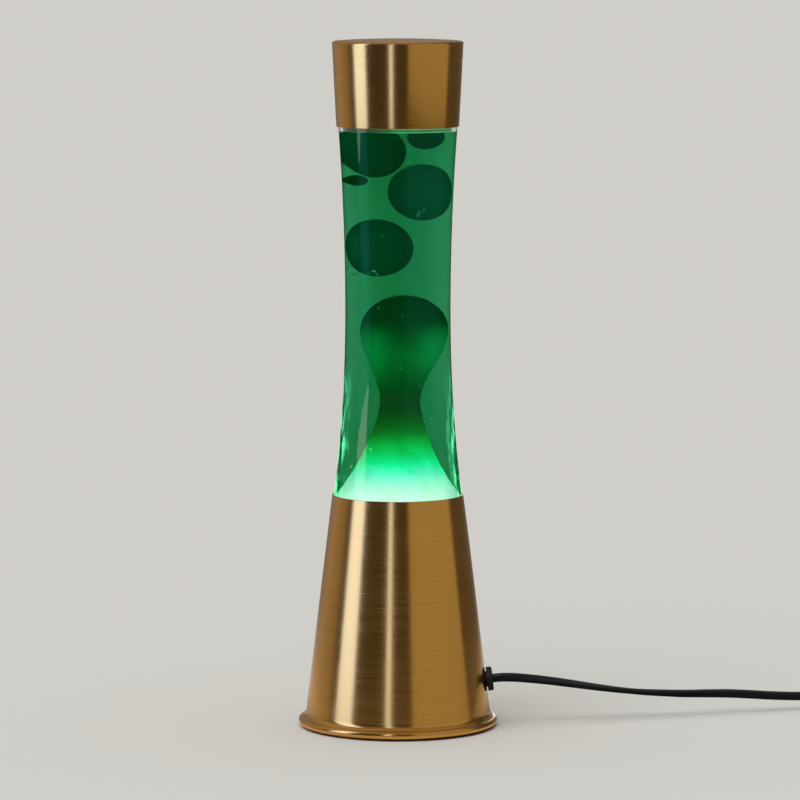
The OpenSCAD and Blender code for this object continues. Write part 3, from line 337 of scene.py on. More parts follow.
def beadShine(name, lift=1.0, s=shineSet):
    f = Finish(name)
    cloud = f.noise(s["cloud"], 2.0)
    level = (f.along("Z") - s["lowZ"] + (cloud - 0.5) * s["wander"]) / s["span"]
    glow = f.node("ValToRGB", {"stops": shineStops}, {0: level})
    return f.surface(f.node("BsdfPrincipled", None, {
        "Base Color": f.blend(cloud, s["deep"], s["pale"]), "Roughness": s["rough"],
        "Emission Color": glow, "Emission Strength": lift}))


brass = turnedBrass("brassFinish")
steel = plainMetal("zincSteel", tone(0.66, 0.67, 0.68), tone(0.46, 0.47, 0.48), 0.38)
contactBrass = plainMetal("contactBrass", tone(0.80, 0.58, 0.26), tone(0.62, 0.42, 0.16), 0.30)
blackPaint = moulded("blackPaint", tone(0.030, 0.030, 0.031), tone(0.018, 0.018, 0.018), 0.55)
blackRubber = moulded("blackRubber", tone(0.020, 0.020, 0.021), tone(0.011, 0.011, 0.011), 0.62)
cordVinyl = moulded("cordVinyl", tone(0.016, 0.016, 0.017), tone(0.009, 0.009, 0.009), 0.40, 700.0, 0.00003)
blackMoulding = moulded("blackMoulding", tone(0.024, 0.024, 0.025), tone(0.014, 0.014, 0.015), 0.36, 1800.0)
whiteMoulding = moulded("whiteMoulding", tone(0.80, 0.77, 0.70), tone(0.68, 0.65, 0.58), 0.48)
brownCore = moulded("brownCore", tone(0.16, 0.07, 0.03), tone(0.10, 0.045, 0.02), 0.45)
glassIor, liquidIor = 1.5, 1.36
bottleGlass = clearGlass("bottleGlass", tone(0.985, 0.995, 0.985), tone(0.965, 0.985, 0.970), glassIor,
                         0.00006, edgeSet)
wetGlass = clearGlass("wetGlass", tone(1.0, 1.0, 1.0), tone(0.985, 0.995, 0.99), glassIor / liquidIor)
bulbGlass = clearGlass("bulbGlass", tone(0.97, 0.97, 0.95), tone(0.93, 0.93, 0.90), glassIor)
liquidFinish = greenLiquid("greenLiquid")
meniscusPaintedShine = meniscusShine("meniscus")
paintedWaxGlow = glowingWax("greenWax")
beadPaintedGlow = beadShine("waxBeads")
clingPaintedGlints = beadShine("clingBubbles", 9.0)
print("finishes made")


# mesh helpers
def keep(name, mesh, body, nodes, finishes, sharp=35):
    piece = bpy.data.objects.new(name, mesh)
    scene.collection.objects.link(piece)
    for finish in finishes:
        mesh.materials.append(finish)
    mesh.shade_smooth()
    mesh.set_sharp_from_angle(angle=math.radians(sharp))
    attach(piece, body)
    if nodes:
        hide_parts(*nodes)
    return piece


def asMesh(name, work):
    mesh = bpy.data.meshes.new(name)
    work.to_mesh(mesh)
    work.free()
    return mesh


# closes rings of equal count into one solid
def skinned(name, work, rings):
    count = len(rings[0])
    for low, high in zip(rings, rings[1:]):
        for k in range(count):
            n = (k + 1) % count
            work.faces.new((low[k], low[n], high[n], high[k]))
    work.faces.new(rings[0])
    work.faces.new(rings[-1])
    bmesh.ops.recalc_face_normals(work, faces=work.faces)
    return asMesh(name, work)


def arc(centre, r, a0, a1, n=12):
    return [(centre[0] + r * math.cos(math.radians(a0 + (a1 - a0) * i / n)),
             centre[1] + r * math.sin(math.radians(a0 + (a1 - a0) * i / n))) for i in range(n + 1)]


def ease(t):
    t = max(0.0, min(1.0, t))
    return t * t * (3 - 2 * t)


# turns a half outline of (radius, height) in mm about Z
def lathe(name, outline, closed=False, turns=192, pick=None, lean=None):
    work = bmesh.new()
    rings = []
    for r, z in outline:
        count = 1 if r < tiny else turns
        shift = lean(z) if lean else 0.0
        rings.append([work.verts.new((
            (r * math.cos(2 * math.pi * i / turns) + shift) * mm, r * math.sin(2 * math.pi * i / turns) * mm,
            z * mm)) for i in range(count)])
    for low, high in list(zip(rings, rings[1:])) + ([(rings[-1], rings[0])] if closed else []):
        for i in range(turns):
            corners = list(dict.fromkeys((
                low[i % len(low)], low[(i + 1) % turns % len(low)],
                high[(i + 1) % turns % len(high)], high[i % len(high)])))
            if len(corners) > 2:
                face = work.faces.new(corners)
                if pick:
                    face.material_index = pick(face.calc_center_median() / mm)
    bmesh.ops.recalc_face_normals(work, faces=work.faces)
    return asMesh(name, work)


# carries a section along a route; a roll of 0 stands the section's width upright
def sweep(name, route, section, rolls=None, ends=(None, None)):
    work = bmesh.new()
    spots = [Vector(p) for p in route]
    rings = []
    for i, spot in enumerate(spots):
        way = (spots[min(i + 1, len(spots) - 1)] - spots[max(i - 1, 0)]).normalized()
        if i == 0 and ends[0]:
            way = Vector(ends[0])
        if i == len(spots) - 1 and ends[1]:
            way = Vector(ends[1])
        side = way.cross(Vector((0, 0, 1))).normalized()
        up = side.cross(way)
        roll = math.radians(rolls[i]) if rolls else 0.0
        rings.append([work.verts.new((
            spot + side * (x * math.cos(roll) - y * math.sin(roll))
            + up * (x * math.sin(roll) + y * math.cos(roll))) * mm) for x, y in section])
    return skinned(name, work, rings)


# a finer route through the same points
def smoothRoute(points, steps):
    spots = [Vector(p) for p in points]
    fine = []
    for i in range(len(spots) - 1):
        a, b = spots[max(i - 1, 0)], spots[i]
        c, d = spots[i + 1], spots[min(i + 2, len(spots) - 1)]
        for k in range(steps):
            t = k / steps
            fine.append(0.5 * (2 * b + (c - a) * t + (2 * a - 5 * b + 4 * c - d) * t * t
                               + (3 * b - a - 3 * c + d) * t * t * t))
    fine.append(spots[-1])
    return fine


def routeLength(points):
    return sum((Vector(a) - Vector(b)).length for a, b in zip(points, points[1:])) * mm


# flat twin cord: two rounded edges and slightly hollow flat sides
cordSet = dict(width=5.2, thick=3.4, hollow=0.14, edgeSteps=10)


def cordSection(s=cordSet):
    r, half = s["thick"] / 2, (s["width"] - s["thick"]) / 2
    top = [(r * math.cos(a), half + r * math.sin(a))
           for a in [math.pi * i / s["edgeSteps"] for i in range(s["edgeSteps"] + 1)]]
    low = [(-x, -y) for x, y in top]
    return top + [(-r + s["hollow"], 0.0)] + low + [(r - s["hollow"], 0.0)]


# base sizes; the cone's slope and the bush's place follow from them
baseSet = dict(height=136.0, rimR=38.2, coneR=54.0, coneZ=5.6, beadC=(55.8, 3.3), beadR=2.3, filletR=4.5,
               wall=0.8, edge=0.28)
coneSlope = (baseSet["coneR"] - baseSet["rimR"]) / (baseSet["height"] - baseSet["coneZ"])
coneTilt = math.atan(coneSlope)


def coneOut(z):
    return baseSet["rimR"] + (baseSet["height"] - z) * coneSlope


bushSet = dict(height=26.8, r=7.0, thick=3.4, flatR=3.6, edgeR=1.1, neckR=4.6, nutR=6.2, nutT=5.0, gap=0.1)
bushAxis = Vector((math.cos(coneTilt), 0, math.sin(coneTilt)))
bushSpot = Vector((coneOut(bushSet["height"]), 0, bushSet["height"]))
bushSeat = bushSet["r"] ** 2 / (2 * coneOut(bushSet["height"])) + bushSet["gap"]
cordExit = bushSpot + (bushSeat + bushSet["thick"]) * bushAxis
leadStart = bushSpot - (baseSet["wall"] + bushSet["nutT"]) * bushAxis

# cords: from the bush to the switch, from the switch through the coil to the plug, and inside the base
switchSet = dict(x=291.0, y=53.0, length=54.0, split=8.0, bush=3.0)
coilSet = dict(x=352.0, y=16.0, outer=37.0, turns=3.875, climb=0.5, step=4.1, z=3.6, rise=5.9, lead=6.0,
               plugRun=12.0, perTurn=40)
plugSet = dict(x=389.0, reliefY=-10.0, frontY=-66.0, z=6.8, width=26.0)
switchReach = switchSet["length"] / 2 + switchSet["bush"]
lampRollSet = dict(fromX=55, overX=150, turn=180)
lampPoints = [
    tuple(cordExit), (61, 0, 27.8), (69, 1.5, 27.4), (79, 5, 26), (91, 9, 24), (104, 12.5, 21.6),
    (117, 16, 19.2), (130, 19.5, 17), (143, 23, 15.2), (156, 26.5, 14), (169, 30, 13), (182, 34, 12.4),
    (195, 38, 11.7), (208, 41.5, 10.6), (221, 45, 9.3), (234, 48.5, 8.3), (247, 51.5, 7.8), (254, 52.6, 7.9),
    (switchSet["x"] - switchReach, switchSet["y"], switchSet["split"])]
lampRoute = smoothRoute(lampPoints, 5)
lampRolls = [lampRollSet["turn"] * max(0.0, min(1.0, (p[0] - lampRollSet["fromX"]) / lampRollSet["overX"]))
             for p in lampRoute]
lampCord = keep("lampCord", sweep("lampCord", lampRoute, cordSection(), lampRolls, (bushAxis, (1, 0, 0))),
                "base", ["lamp_cord"], [cordVinyl], 50)


def easedRun(a, b, n=10):
    return [(a[0] + (b[0] - a[0]) * i / n, a[1] + (b[1] - a[1]) * i / n, a[2] + (b[2] - a[2]) * ease(i / n))
            for i in range(n + 1)]


def coilPoint(t, s=coilSet):
    inner = s["outer"] - s["turns"] * s["step"]
    if t < s["turns"]:
        r = s["outer"] - s["step"] * t
    else:
        r = inner + s["step"] * max(0.0, t - s["turns"] - s["climb"])
    a = math.radians(90 - 360 * t)
    z = s["z"] + s["rise"] * ease((t - s["turns"]) / s["climb"])
    return (s["x"] + r * math.cos(a), s["y"] + r * math.sin(a), z)


coilTurns = 2 * coilSet["turns"] + coilSet["climb"]
coilRun = [coilPoint(i / coilSet["perTurn"]) for i in range(int(coilTurns * coilSet["perTurn"]) + 1)]
coilEnd = (coilSet["x"] + coilSet["outer"], coilSet["y"] - coilSet["plugRun"], coilSet["z"] + coilSet["rise"])
plugRoute = (
    easedRun((switchSet["x"] + switchReach, switchSet["y"], switchSet["split"]),
             (coilSet["x"] - coilSet["lead"], coilSet["y"] + coilSet["outer"], coilSet["z"]))
    + coilRun + easedRun(coilEnd, (plugSet["x"], plugSet["reliefY"], plugSet["z"])))
plugCord = keep("plugCord", sweep("plugCord", plugRoute, cordSection(), None, ((1, 0, 0), (0, -1, 0))),
                "base", ["switch_lead", "cord_coil", "plug_lead"], [cordVinyl], 50)

# inside the base: the lead goes down to its clamp, and its two cores rise to the terminals
innerSet = dict(leadZ=8.0, endX=22.0, clampX=27.5, coreR=0.9, coreY=1.2, coreSides=16, spread=2.2, coreZ=19.6,
                terminalX=7.5)
innerPoints = [tuple(cordExit), tuple(leadStart), tuple(leadStart - 3 * bushAxis), (40, 0, 23), (36.5, 0, 16),
               (34.5, 0, 11), (innerSet["clampX"] + 5, 0, innerSet["leadZ"] + 0.4),
               (innerSet["clampX"], 0, innerSet["leadZ"]), (innerSet["endX"], 0, innerSet["leadZ"])]
innerMesh = sweep("innerLead", smoothRoute(innerPoints, 6), cordSection(), None, (-bushAxis, (-1, 0, 0)))
keep("innerLead", innerMesh, "base", ["inner_lead"], [cordVinyl], 50)


def coreMesh(s=innerSet):
    joined = bmesh.new()
    turns = [2 * math.pi * k / s["coreSides"] for k in range(s["coreSides"])]
    ring = [(s["coreR"] * math.cos(a), s["coreR"] * math.sin(a)) for a in turns]
    x, z = s["endX"], s["leadZ"]
    for side in (1, -1):
        y = side * s["coreY"]
        points = [
            (x, y, z), (x - 3, y, z + 0.6), (x - 5, y * 1.3, z + 2.6), (x - 7, y * 1.8, z + 5.6),
            (13.5, y * s["spread"], s["coreZ"]), (s["terminalX"] + 1.6, y * s["spread"], s["coreZ"]),
            (s["terminalX"], y * s["spread"], s["coreZ"])]
        joined.from_mesh(sweep("core", smoothRoute(points, 6), ring, None, ((-1, 0, 0), (-1, 0, 0))))
    return asMesh("leadCores", joined)


keep("leadCores", coreMesh(), "base", ["lead_cores"], [brownCore], 50)
print("cords made:", round(routeLength(lampRoute), 3), "m and", round(routeLength(plugRoute), 3), "m")


# base: spun cone with a rolled foot edge
def baseOutline(s=baseSet):
    ux, uz = math.cos(coneTilt), math.sin(coneTilt)
    line = s["coneR"] * ux + s["coneZ"] * uz + s["filletR"]
    near = line - s["beadC"][0] * ux - s["beadC"][1] * uz
    far = math.sqrt((s["filletR"] + s["beadR"]) ** 2 - near ** 2)
    fillet = (s["beadC"][0] + near * ux - far * uz, s["beadC"][1] + near * uz + far * ux)
    turn = math.degrees(math.atan2(fillet[1] - s["beadC"][1], fillet[0] - s["beadC"][0]))
    low = s["coneZ"] + s["beadR"]
    inner = coneOut(low) - s["wall"] / ux
    e = s["edge"]
    return ([(inner, low), (s["rimR"] - s["wall"], s["height"] - e)]
            + arc((s["rimR"] - s["wall"] + e, s["height"] - e), e, 180, 90, 4)[1:]
            + arc((s["rimR"] - e, s["height"] - e), e, 90, math.degrees(coneTilt), 4)
            + arc(fillet, s["filletR"], 180 + math.degrees(coneTilt), 180 + turn, 14)
            + arc(s["beadC"], s["beadR"], turn, -180, 30))


baseMesh = lathe("baseShell", baseOutline(), True, 256)
baseShell = keep("baseShell", baseMesh, "base", ["base_shell"], [brass])


# cord bush: domed flange on the cone's wall, a neck through it and a nut inside
def bushMesh(s=bushSet):
    face, edge, inside = bushSeat + s["thick"], s["edgeR"], -baseSet["wall"]
    outline = ([(0.0, face), (s["flatR"], face)] + arc((s["r"] - edge, face - edge), edge, 90, 0, 8)
               + [(s["r"], bushSeat), (s["neckR"], bushSeat), (s["neckR"], inside - bushSeat),
                  (s["nutR"], inside - bushSeat), (s["nutR"], inside - s["nutT"]), (0.0, inside - s["nutT"])])
    mesh = lathe("cordBush", outline, False, 64)
    turn = Vector((0, 0, 1)).rotation_difference(bushAxis).to_matrix().to_4x4()
    turn.translation = bushSpot * mm
    mesh.transform(turn)
    return mesh


keep("cordBush", bushMesh(), "base", ["cord_bush"], [blackRubber])
print("base made")


# bottle: two arcs that share an upright tangent at the waist
bottleSet = dict(floor=117.6, rim=136.0, r=37.0, waistR=30.5, waistZ=243.0, topR=34.4, capZ=349.5, wall=2.6,
                 heel=9.0, innerHeel=6.0, punt=3.0, puntEdge=3.0, wetFrom=1.5, shoulderR=13.0, neckR=13.0,
                 collar=2.0, finishTop=391.6, lip=1.0, lipH=4.0, lipBevel=1.0)


# radius of the arc that gains or loses this width over this height
def bowR(height, width):
    return (height ** 2 + width ** 2) / (2 * width)


lowerArc = bowR(bottleSet["waistZ"] - bottleSet["rim"], bottleSet["r"] - bottleSet["waistR"])
upperArc = bowR(bottleSet["capZ"] - bottleSet["waistZ"], bottleSet["topR"] - bottleSet["waistR"])


def sideR(z, inset=0.0):
    bow = lowerArc if z < bottleSet["waistZ"] else upperArc
    return bottleSet["waistR"] + bow - math.sqrt((bow + inset) ** 2 - (z - bottleSet["waistZ"]) ** 2)


def sideLine(z0, z1, inset, n):
    return [(sideR(z0 + (z1 - z0) * i / n, inset), z0 + (z1 - z0) * i / n) for i in range(n + 1)]


# the bottle's inside up to its neck, drawn in by inset
def insideLine(inset, s=bottleSet):
    floor = s["floor"] + s["punt"] + inset
    wall = sideR(s["rim"], inset)
    shoulder = (s["topR"] - s["shoulderR"], s["capZ"] + s["collar"])
    fillet = s["topR"] - s["shoulderR"] - s["neckR"]
    return ([(0.0, floor)] + arc((wall - s["innerHeel"], floor + s["innerHeel"]), s["innerHeel"], -90, 0, 14)
            + sideLine(s["rim"], s["capZ"], inset, 90)
            + arc(shoulder, s["shoulderR"] - inset, 0, 90, 14)
            + arc((shoulder[0], shoulder[1] + s["shoulderR"] + fillet), fillet + inset, 270, 180, 14))


def bottleOutline(s=bottleSet):
    ring = s["r"] - s["heel"] - s["puntEdge"]
    puntArc = bowR(ring, s["punt"])
    puntEnd = 90 - math.degrees(math.asin(ring / puntArc))
    shoulder = (s["topR"] - s["shoulderR"], s["capZ"] + s["collar"])
    fillet = s["topR"] - s["shoulderR"] - s["neckR"]
    lipR, lipLow, bevel = s["neckR"] + s["lip"], s["finishTop"] - s["lipH"], s["lipBevel"]
    outer = (arc((0, s["floor"] + s["punt"] - puntArc), puntArc, 90, puntEnd, 10)
             + arc((s["r"] - s["heel"], s["floor"] + s["heel"]), s["heel"], -90, 0, 14)
             + sideLine(s["rim"], s["capZ"], 0.0, 90)
             + arc(shoulder, s["shoulderR"], 0, 90, 14)
             + arc((shoulder[0], shoulder[1] + s["shoulderR"] + fillet), fillet, 270, 180, 14)
             + [(s["neckR"], lipLow - bevel), (lipR, lipLow), (lipR, s["finishTop"] - bevel),
                (lipR - bevel, s["finishTop"])])
    outer[0] = (0.0, s["floor"] + s["punt"])
    return outer + [(s["neckR"] - s["wall"], s["finishTop"])] + insideLine(s["wall"])[::-1]


# picks the inner wall below the liquid's level
def wetSide(spot, s=bottleSet):
    inner = math.hypot(spot[0], spot[1]) < sideR(min(max(spot[2], s["rim"]), s["capZ"]), s["wall"] / 2)
    return 1 if inner and s["floor"] + s["punt"] + s["wetFrom"] < spot[2] < levelZ else 0


bottleMesh = lathe("bottleGlass", bottleOutline(), False, 192, wetSide)
bottle = keep("bottleGlass", bottleMesh, "bottle", ["bottle_glass"], [bottleGlass, wetGlass])


# liquid: fills the bottle and creeps a little up the wall
liquidShape = dict(gap=0.1, creep=2.5, reach=3.0, steps=8)


def liquidOutline(s=liquidShape):
    inset = bottleSet["wall"] + s["gap"]
    line = [p for p in insideLine(inset) if p[1] < levelZ - levelGap] + [(sideR(levelZ, inset), levelZ)]
    wall = sideR(min(levelZ + s["creep"], bottleSet["capZ"]), inset)
    rise = [(wall - s["reach"] * t, levelZ + s["creep"] * (1 - t) ** 3)
            for t in [i / s["steps"] for i in range(s["steps"] + 1)]]
    return line + rise + [(0.0, levelZ)]


# picks what stands above the level
def meniscusSide(spot):
    return 1 if spot[2] > levelZ + levelGap / 10 else 0


liquidMesh = lathe("liquidFill", liquidOutline(), False, 192, meniscusSide)
keep("liquidFill", liquidMesh, "bottle", ["liquid"], [liquidFinish, meniscusPaintedShine])


# wax: the rising column leans a little to the right as it goes up
columnSet = dict(neckR=8.6, headR=18.9, footR=25.0, floorR=26.0, neckH=55.0, headH=95.0, topH=116.5,
                 spread=1.6, tuck=11.0, leanNeck=0.85, leanHead=2.85, floorGap=0.1, wallGap=0.2, steps=120,
                 headSteps=24)


def columnR(h, s=columnSet):
    if h < s["neckH"]:
        return s["neckR"] + (s["footR"] - s["neckR"]) * (1 - h / s["neckH"]) ** s["spread"]
    return s["neckR"] + (s["headR"] - s["neckR"]) * ease((h - s["neckH"]) / (s["headH"] - s["neckH"]))


def columnLean(z, s=columnSet):
    h = z - bottleSet["rim"]
    return s["leanNeck"] * ease(h / s["neckH"]) + (s["leanHead"] - s["leanNeck"]) * ease(
        (h - s["neckH"]) / (s["headH"] - s["neckH"]))


def columnOutline(s=columnSet):
    floor = bottleSet["floor"] + bottleSet["punt"] + bottleSet["wall"] + s["floorGap"]
    rim, gap = bottleSet["rim"], bottleSet["wall"] + s["wallGap"]
    line = [p for p in insideLine(gap) if p[1] < rim]
    heights = [floor + (s["headH"] + rim - floor) * i / s["steps"] for i in range(s["steps"] + 1)]
    low = [(min(columnR(z - rim), sideR(max(rim, z), gap)), z) for z in heights]
    low = [p for p in low if p[1] > line[-1][1] - s["tuck"]]
    rise = s["topH"] - s["headH"]
    head = [(s["headR"] * math.cos(a), rim + s["headH"] + rise * math.sin(a))
            for a in [math.pi / 2 * i / s["headSteps"] for i in range(1, s["headSteps"])]]
    return [(0.0, floor), (s["floorR"], floor)] + low + head + [(0.0, rim + s["topH"])]


columnMesh = lathe("waxColumn", columnOutline(), False, 128, None, columnLean)
keep("waxColumn", columnMesh, "bottle", ["wax_column"], [paintedWaxGlow], 60)


# free wax: rounded blobs that are never quite spheres; a pinch draws one side in
wobbleSet = dict(share=0.02, first=(2.1, 1.7), second=(2.4, -1.3), pinchWay=Vector((-0.75, 0.0, -0.66)))


def blobMesh(name, s, w=wobbleSet):
    work = bmesh.new()
    bmesh.ops.create_icosphere(work, subdivisions=5, radius=1.0)
    for v in work.verts:
        d = v.co.normalized()
        first = math.sin(w["first"][0] * d.x + w["first"][1] * d.z + s["phase"])
        second = math.sin(w["second"][0] * d.y + w["second"][1] * d.z + 2 * s["phase"])
        swell = 1 + w["share"] * (first + second) / 2
        swell -= s.get("pinch", 0.0) * max(0.0, d.dot(w["pinchWay"])) ** 2
        v.co = Vector([(c + r * swell * k) * mm for c, r, k in zip(s["centre"], s["radii"], d)])
        if s.get("top"):
            v.co.z = min(v.co.z, s["top"] * mm)
    return asMesh(name, work)


blobs = dict(
    lowGlobule=dict(centre=(-9.57, -4.79, 280.2), radii=(16.3, 16.3, 16.5), body="low_globule",
                    node="wax_globule_low", phase=0.6),
    highGlobule=dict(centre=(11.28, -5.65, 312.5), radii=(16.1, 16.1, 16.3), body="high_globule",
                     node="wax_globule_high", phase=2.1),
    leftPool=dict(centre=(-11.6, 6.0, 335.5), radii=(14.8, 15.2, 15.8), body="bottle", node="wax_pool_left",
                  phase=3.9, top=levelZ - levelGap, pinch=0.24),
    rightPool=dict(centre=(10.5, 10.2, 344.0), radii=(7.0, 7.0, 7.0), body="bottle", node="wax_pool_right",
                   phase=5.2, top=levelZ - levelGap),
    droplet=dict(centre=(-14.2, 15.5, 318.7), radii=(3.6, 3.3, 3.1), body="bottle", node="wax_droplet",
                 phase=1.2))
for name, s in blobs.items():
    keep(name, blobMesh(name, s), s["body"], [s["node"]], [paintedWaxGlow], 60)


# runs a node group on a host mesh and keeps what it makes as a plain mesh
def grown(name, host, group, settings):
    carrier = bpy.data.objects.new(name + "Host", host)
    scene.collection.objects.link(carrier)
    grow = carrier.modifiers.new("grow", "NODES")
    grow.node_group = group
    for item in group.interface.items_tree:
        if item.in_out == "INPUT" and item.name in settings:
            grow[item.identifier] = settings[item.name]
    mesh = bpy.data.meshes.new_from_object(carrier.evaluated_get(bpy.context.evaluated_depsgraph_get()))
    bpy.data.objects.remove(carrier)
    mesh.materials.clear()
    return mesh


def newGroup(name, kinds):
    tree = bpy.data.node_groups.new(name, "GeometryNodeTree")
    for label, kind in kinds.items():
        tree.interface.new_socket(label, in_out="INPUT", socket_type="NodeSocket" + kind)
    tree.interface.new_socket("Made", in_out="OUTPUT", socket_type="NodeSocketGeometry")
    inputs = tree.nodes.new("NodeGroupInput")
    return Graph(tree, ""), {label: Sock(tree, inputs.outputs[label]) for label in kinds}


def endGroup(g, placed, finish):
    solid = g.node("GeometryNodeRealizeInstances", None, {0: placed})
    done = g.node("GeometryNodeSetMaterial", None, {"Geometry": solid, "Material": finish})
    g.tree.links.new(done.link, g.tree.nodes.new("NodeGroupOutput").inputs[0])
    return g.tree


# flattened beads scattered over a host surface
def beadNodes():
    g, take = newGroup("beads", dict(
        Host="Geometry", Density="Float", Seed="Int", Smallest="Float", Largest="Float", Flatness="Float",
        Finish="Material"))
    spread = g.node("GeometryNodeDistributePointsOnFaces", None, {
        "Mesh": take["Host"], "Density": take["Density"], "Seed": take["Seed"]}, "Points")
    turned = Sock(g.tree, spread.link.node.outputs["Rotation"])
    size = g.node("FunctionNodeRandomValue", {"data_type": "FLOAT"},
                  {2: take["Smallest"], 3: take["Largest"], 8: take["Seed"]}, 1)
    scale = g.node("ShaderNodeCombineXYZ", None, {0: size, 1: size, 2: size * take["Flatness"]})
    ball = g.node("GeometryNodeMeshIcoSphere", None, {"Radius": 1.0, "Subdivisions": 2})
    placed = g.node("GeometryNodeInstanceOnPoints", None, {
        "Points": spread, "Instance": ball, "Scale": scale, "Rotation": turned})
    return endGroup(g, placed, take["Finish"])


# a row of round-ended ribs, one step apart
def ribNodes():
    g, take = newGroup("ribs", dict(
        Host="Geometry", Count="Int", Start="Vector", Step="Vector", Turn="Vector", Radius="Float",
        Length="Float", Finish="Material"))
    row = g.node("GeometryNodeMeshLine", {"mode": "OFFSET"}, {
        "Count": take["Count"], "Start Location": take["Start"], "Offset": take["Step"]})
    ball = g.node("GeometryNodeMeshUVSphere", None, {"Segments": 16, "Rings": 9, "Radius": 1.0})
    scale = g.node("ShaderNodeCombineXYZ", None, {
        0: take["Radius"], 1: take["Radius"], 2: take["Length"] * 0.5})
    turned = g.node("FunctionNodeEulerToRotation", None, {0: take["Turn"]})
    placed = g.node("GeometryNodeInstanceOnPoints", None, {
        "Points": row, "Instance": ball, "Scale": scale, "Rotation": turned})
    return endGroup(g, placed, take["Finish"])


beadTree = beadNodes()
ribTree = ribNodes()
beadSets = dict(
    lowBeads=dict(zone=(139.0, 186.0), inset=0.9, Density=1500.0, Seed=11, Smallest=0.00012,
                  Largest=0.00042, Flatness=0.55),
    wallBubbles=dict(zone=(186.0, 340.0), inset=0.7, Density=700.0, Seed=21, Smallest=0.00015,
                     Largest=0.0004, Flatness=0.6),
    looseBubbles=dict(zone=(196.0, 256.0), inset=8.0, Density=1200.0, Seed=4, Smallest=0.00014,
                      Largest=0.00032, Flatness=1.0))
for name, s in beadSets.items():
    band = lathe(name + "Band", sideLine(*s["zone"], bottleSet["wall"] + s["inset"], 20), False, 96)
    mesh = grown(name, band, beadTree, dict(s, Finish=beadPaintedGlow))
    keep(name, mesh, "bottle", [], [beadPaintedGlow], 60)

# a few small bubbles cling under each free globule and ride with it; their glints are painted as a strong
# glow
clingSet = dict(within=0.972, Density=110000.0, Smallest=0.00014, Largest=0.00036, Flatness=0.8)
clingSpots = dict(lowCling=("lowGlobule", 3, (-0.16, -0.50, -0.85)),
                  highCling=("highGlobule", 8, (0.0, -0.64, -0.77)))
for name, (blob, seed, facing) in clingSpots.items():
    work = bmesh.new()
    work.from_mesh(blobMesh(name + "Host", blobs[blob]))
    away = [f for f in work.faces if f.normal.dot(Vector(facing)) < clingSet["within"]]
    bmesh.ops.delete(work, geom=away, context="FACES")
    patch = asMesh(name + "Patch", work)
    mesh = grown(name, patch, beadTree, dict(clingSet, Seed=seed, Finish=clingPaintedGlints))
    keep(name, mesh, blobs[blob]["body"], [], [clingPaintedGlints], 60)
print("bottle, liquid and wax made")


# cap: spun, wider at the top, with a slightly domed top
capSet = dict(z=349.5, top=400.0, lowR=35.6, rimR=38.0, dome=1.2, edgeR=1.6, edgeTurn=75, wall=0.8, edge=0.25,
              steps=12)


def capOutline(s=capSet):
    edgeZ = s["top"] - s["dome"]
    flank = math.degrees(math.atan((s["rimR"] - s["lowR"]) / (edgeZ - s["z"])))
    domeR = bowR(s["rimR"], s["dome"])
    radii = [(s["rimR"] - 2 * s["edgeR"]) * i / s["steps"] for i in range(s["steps"] + 1)]

    def domeZ(r):
        return s["top"] - domeR + math.sqrt(domeR ** 2 - r ** 2)

    innerZ = edgeZ - s["edgeR"] - s["wall"]
    innerR = s["lowR"] + (s["rimR"] - s["lowR"]) * (innerZ - s["z"]) / (edgeZ - s["z"]) - s["wall"]
    e = s["edge"]
    return ([(s["lowR"] - s["wall"], s["z"] + e)]
            + arc((s["lowR"] - s["wall"] + e, s["z"] + e), e, 180, 270, 4)[1:]
            + arc((s["lowR"] - e, s["z"] + e), e, 270, 360, 4)
            + arc((s["rimR"] - s["edgeR"], edgeZ - s["edgeR"]), s["edgeR"], -flank, s["edgeTurn"], 12)
            + [(r, domeZ(r)) for r in radii[::-1]] + [(r, domeZ(r) - s["wall"]) for r in radii]
            + [(innerR, innerZ)])


capMesh = lathe("capShell", capOutline(), True, 256)
cap = keep("capShell", capMesh, "cap", ["cap_shell"], [brass])
print("cap made")


# switch and plug: the CAD solids with rounded edges
softEdge = dict(flat=1.0, sharp=28.0, steps=3, profile=0.6)
softSet = dict(
    switchLower=dict(node="switch_lower_case", body="base", width=0.5),
    switchUpper=dict(node="switch_upper_case", body="base", width=0.5),
    rocker=dict(node="switch_rocker", body="rocker", width=0.35),
    plugBody=dict(node="plug_body", body="base", width=0.9))


def softened(node, width, s=softEdge):
    work = bmesh.new()
    work.from_mesh(frame["nodes"][node].data)
    bmesh.ops.remove_doubles(work, verts=work.verts, dist=tiny)
    bmesh.ops.dissolve_limit(work, angle_limit=math.radians(s["flat"]), verts=work.verts, edges=work.edges)
    sharp = [e for e in work.edges if e.is_manifold and e.calc_face_angle() > math.radians(s["sharp"])]
    bmesh.ops.bevel(work, geom=sharp, offset=width * mm, segments=s["steps"], profile=s["profile"],
                    affect="EDGES", clamp_overlap=True)
    return asMesh(node + "Soft", work)


for name, s in softSet.items():
    mesh = softened(s["node"], s["width"])
    keep(name, mesh, s["body"], [s["node"]], [blackMoulding], 40)

# ribs on both wings of the rocker, and a grip on the sides of the plug
rockerSet = dict(z=13.0, tilt=10.0, half=9.8, ridge=4.2, side=2.6, first=3.4, step=1.7, ribs=4, ribR=0.42,
                 ribL=7.6)
gripSet = dict(first=3.6, step=2.6, ribs=5, ribR=0.6, ribL=8.4)


def rockerSpot(x, s=rockerSet):
    lift = s["ridge"] - (s["ridge"] - s["side"]) * abs(x) / s["half"]
    a = math.radians(s["tilt"])
    return Vector((switchSet["x"] + x * math.cos(a) - lift * math.sin(a), switchSet["y"],
                   s["z"] + x * math.sin(a) + lift * math.cos(a))) * mm


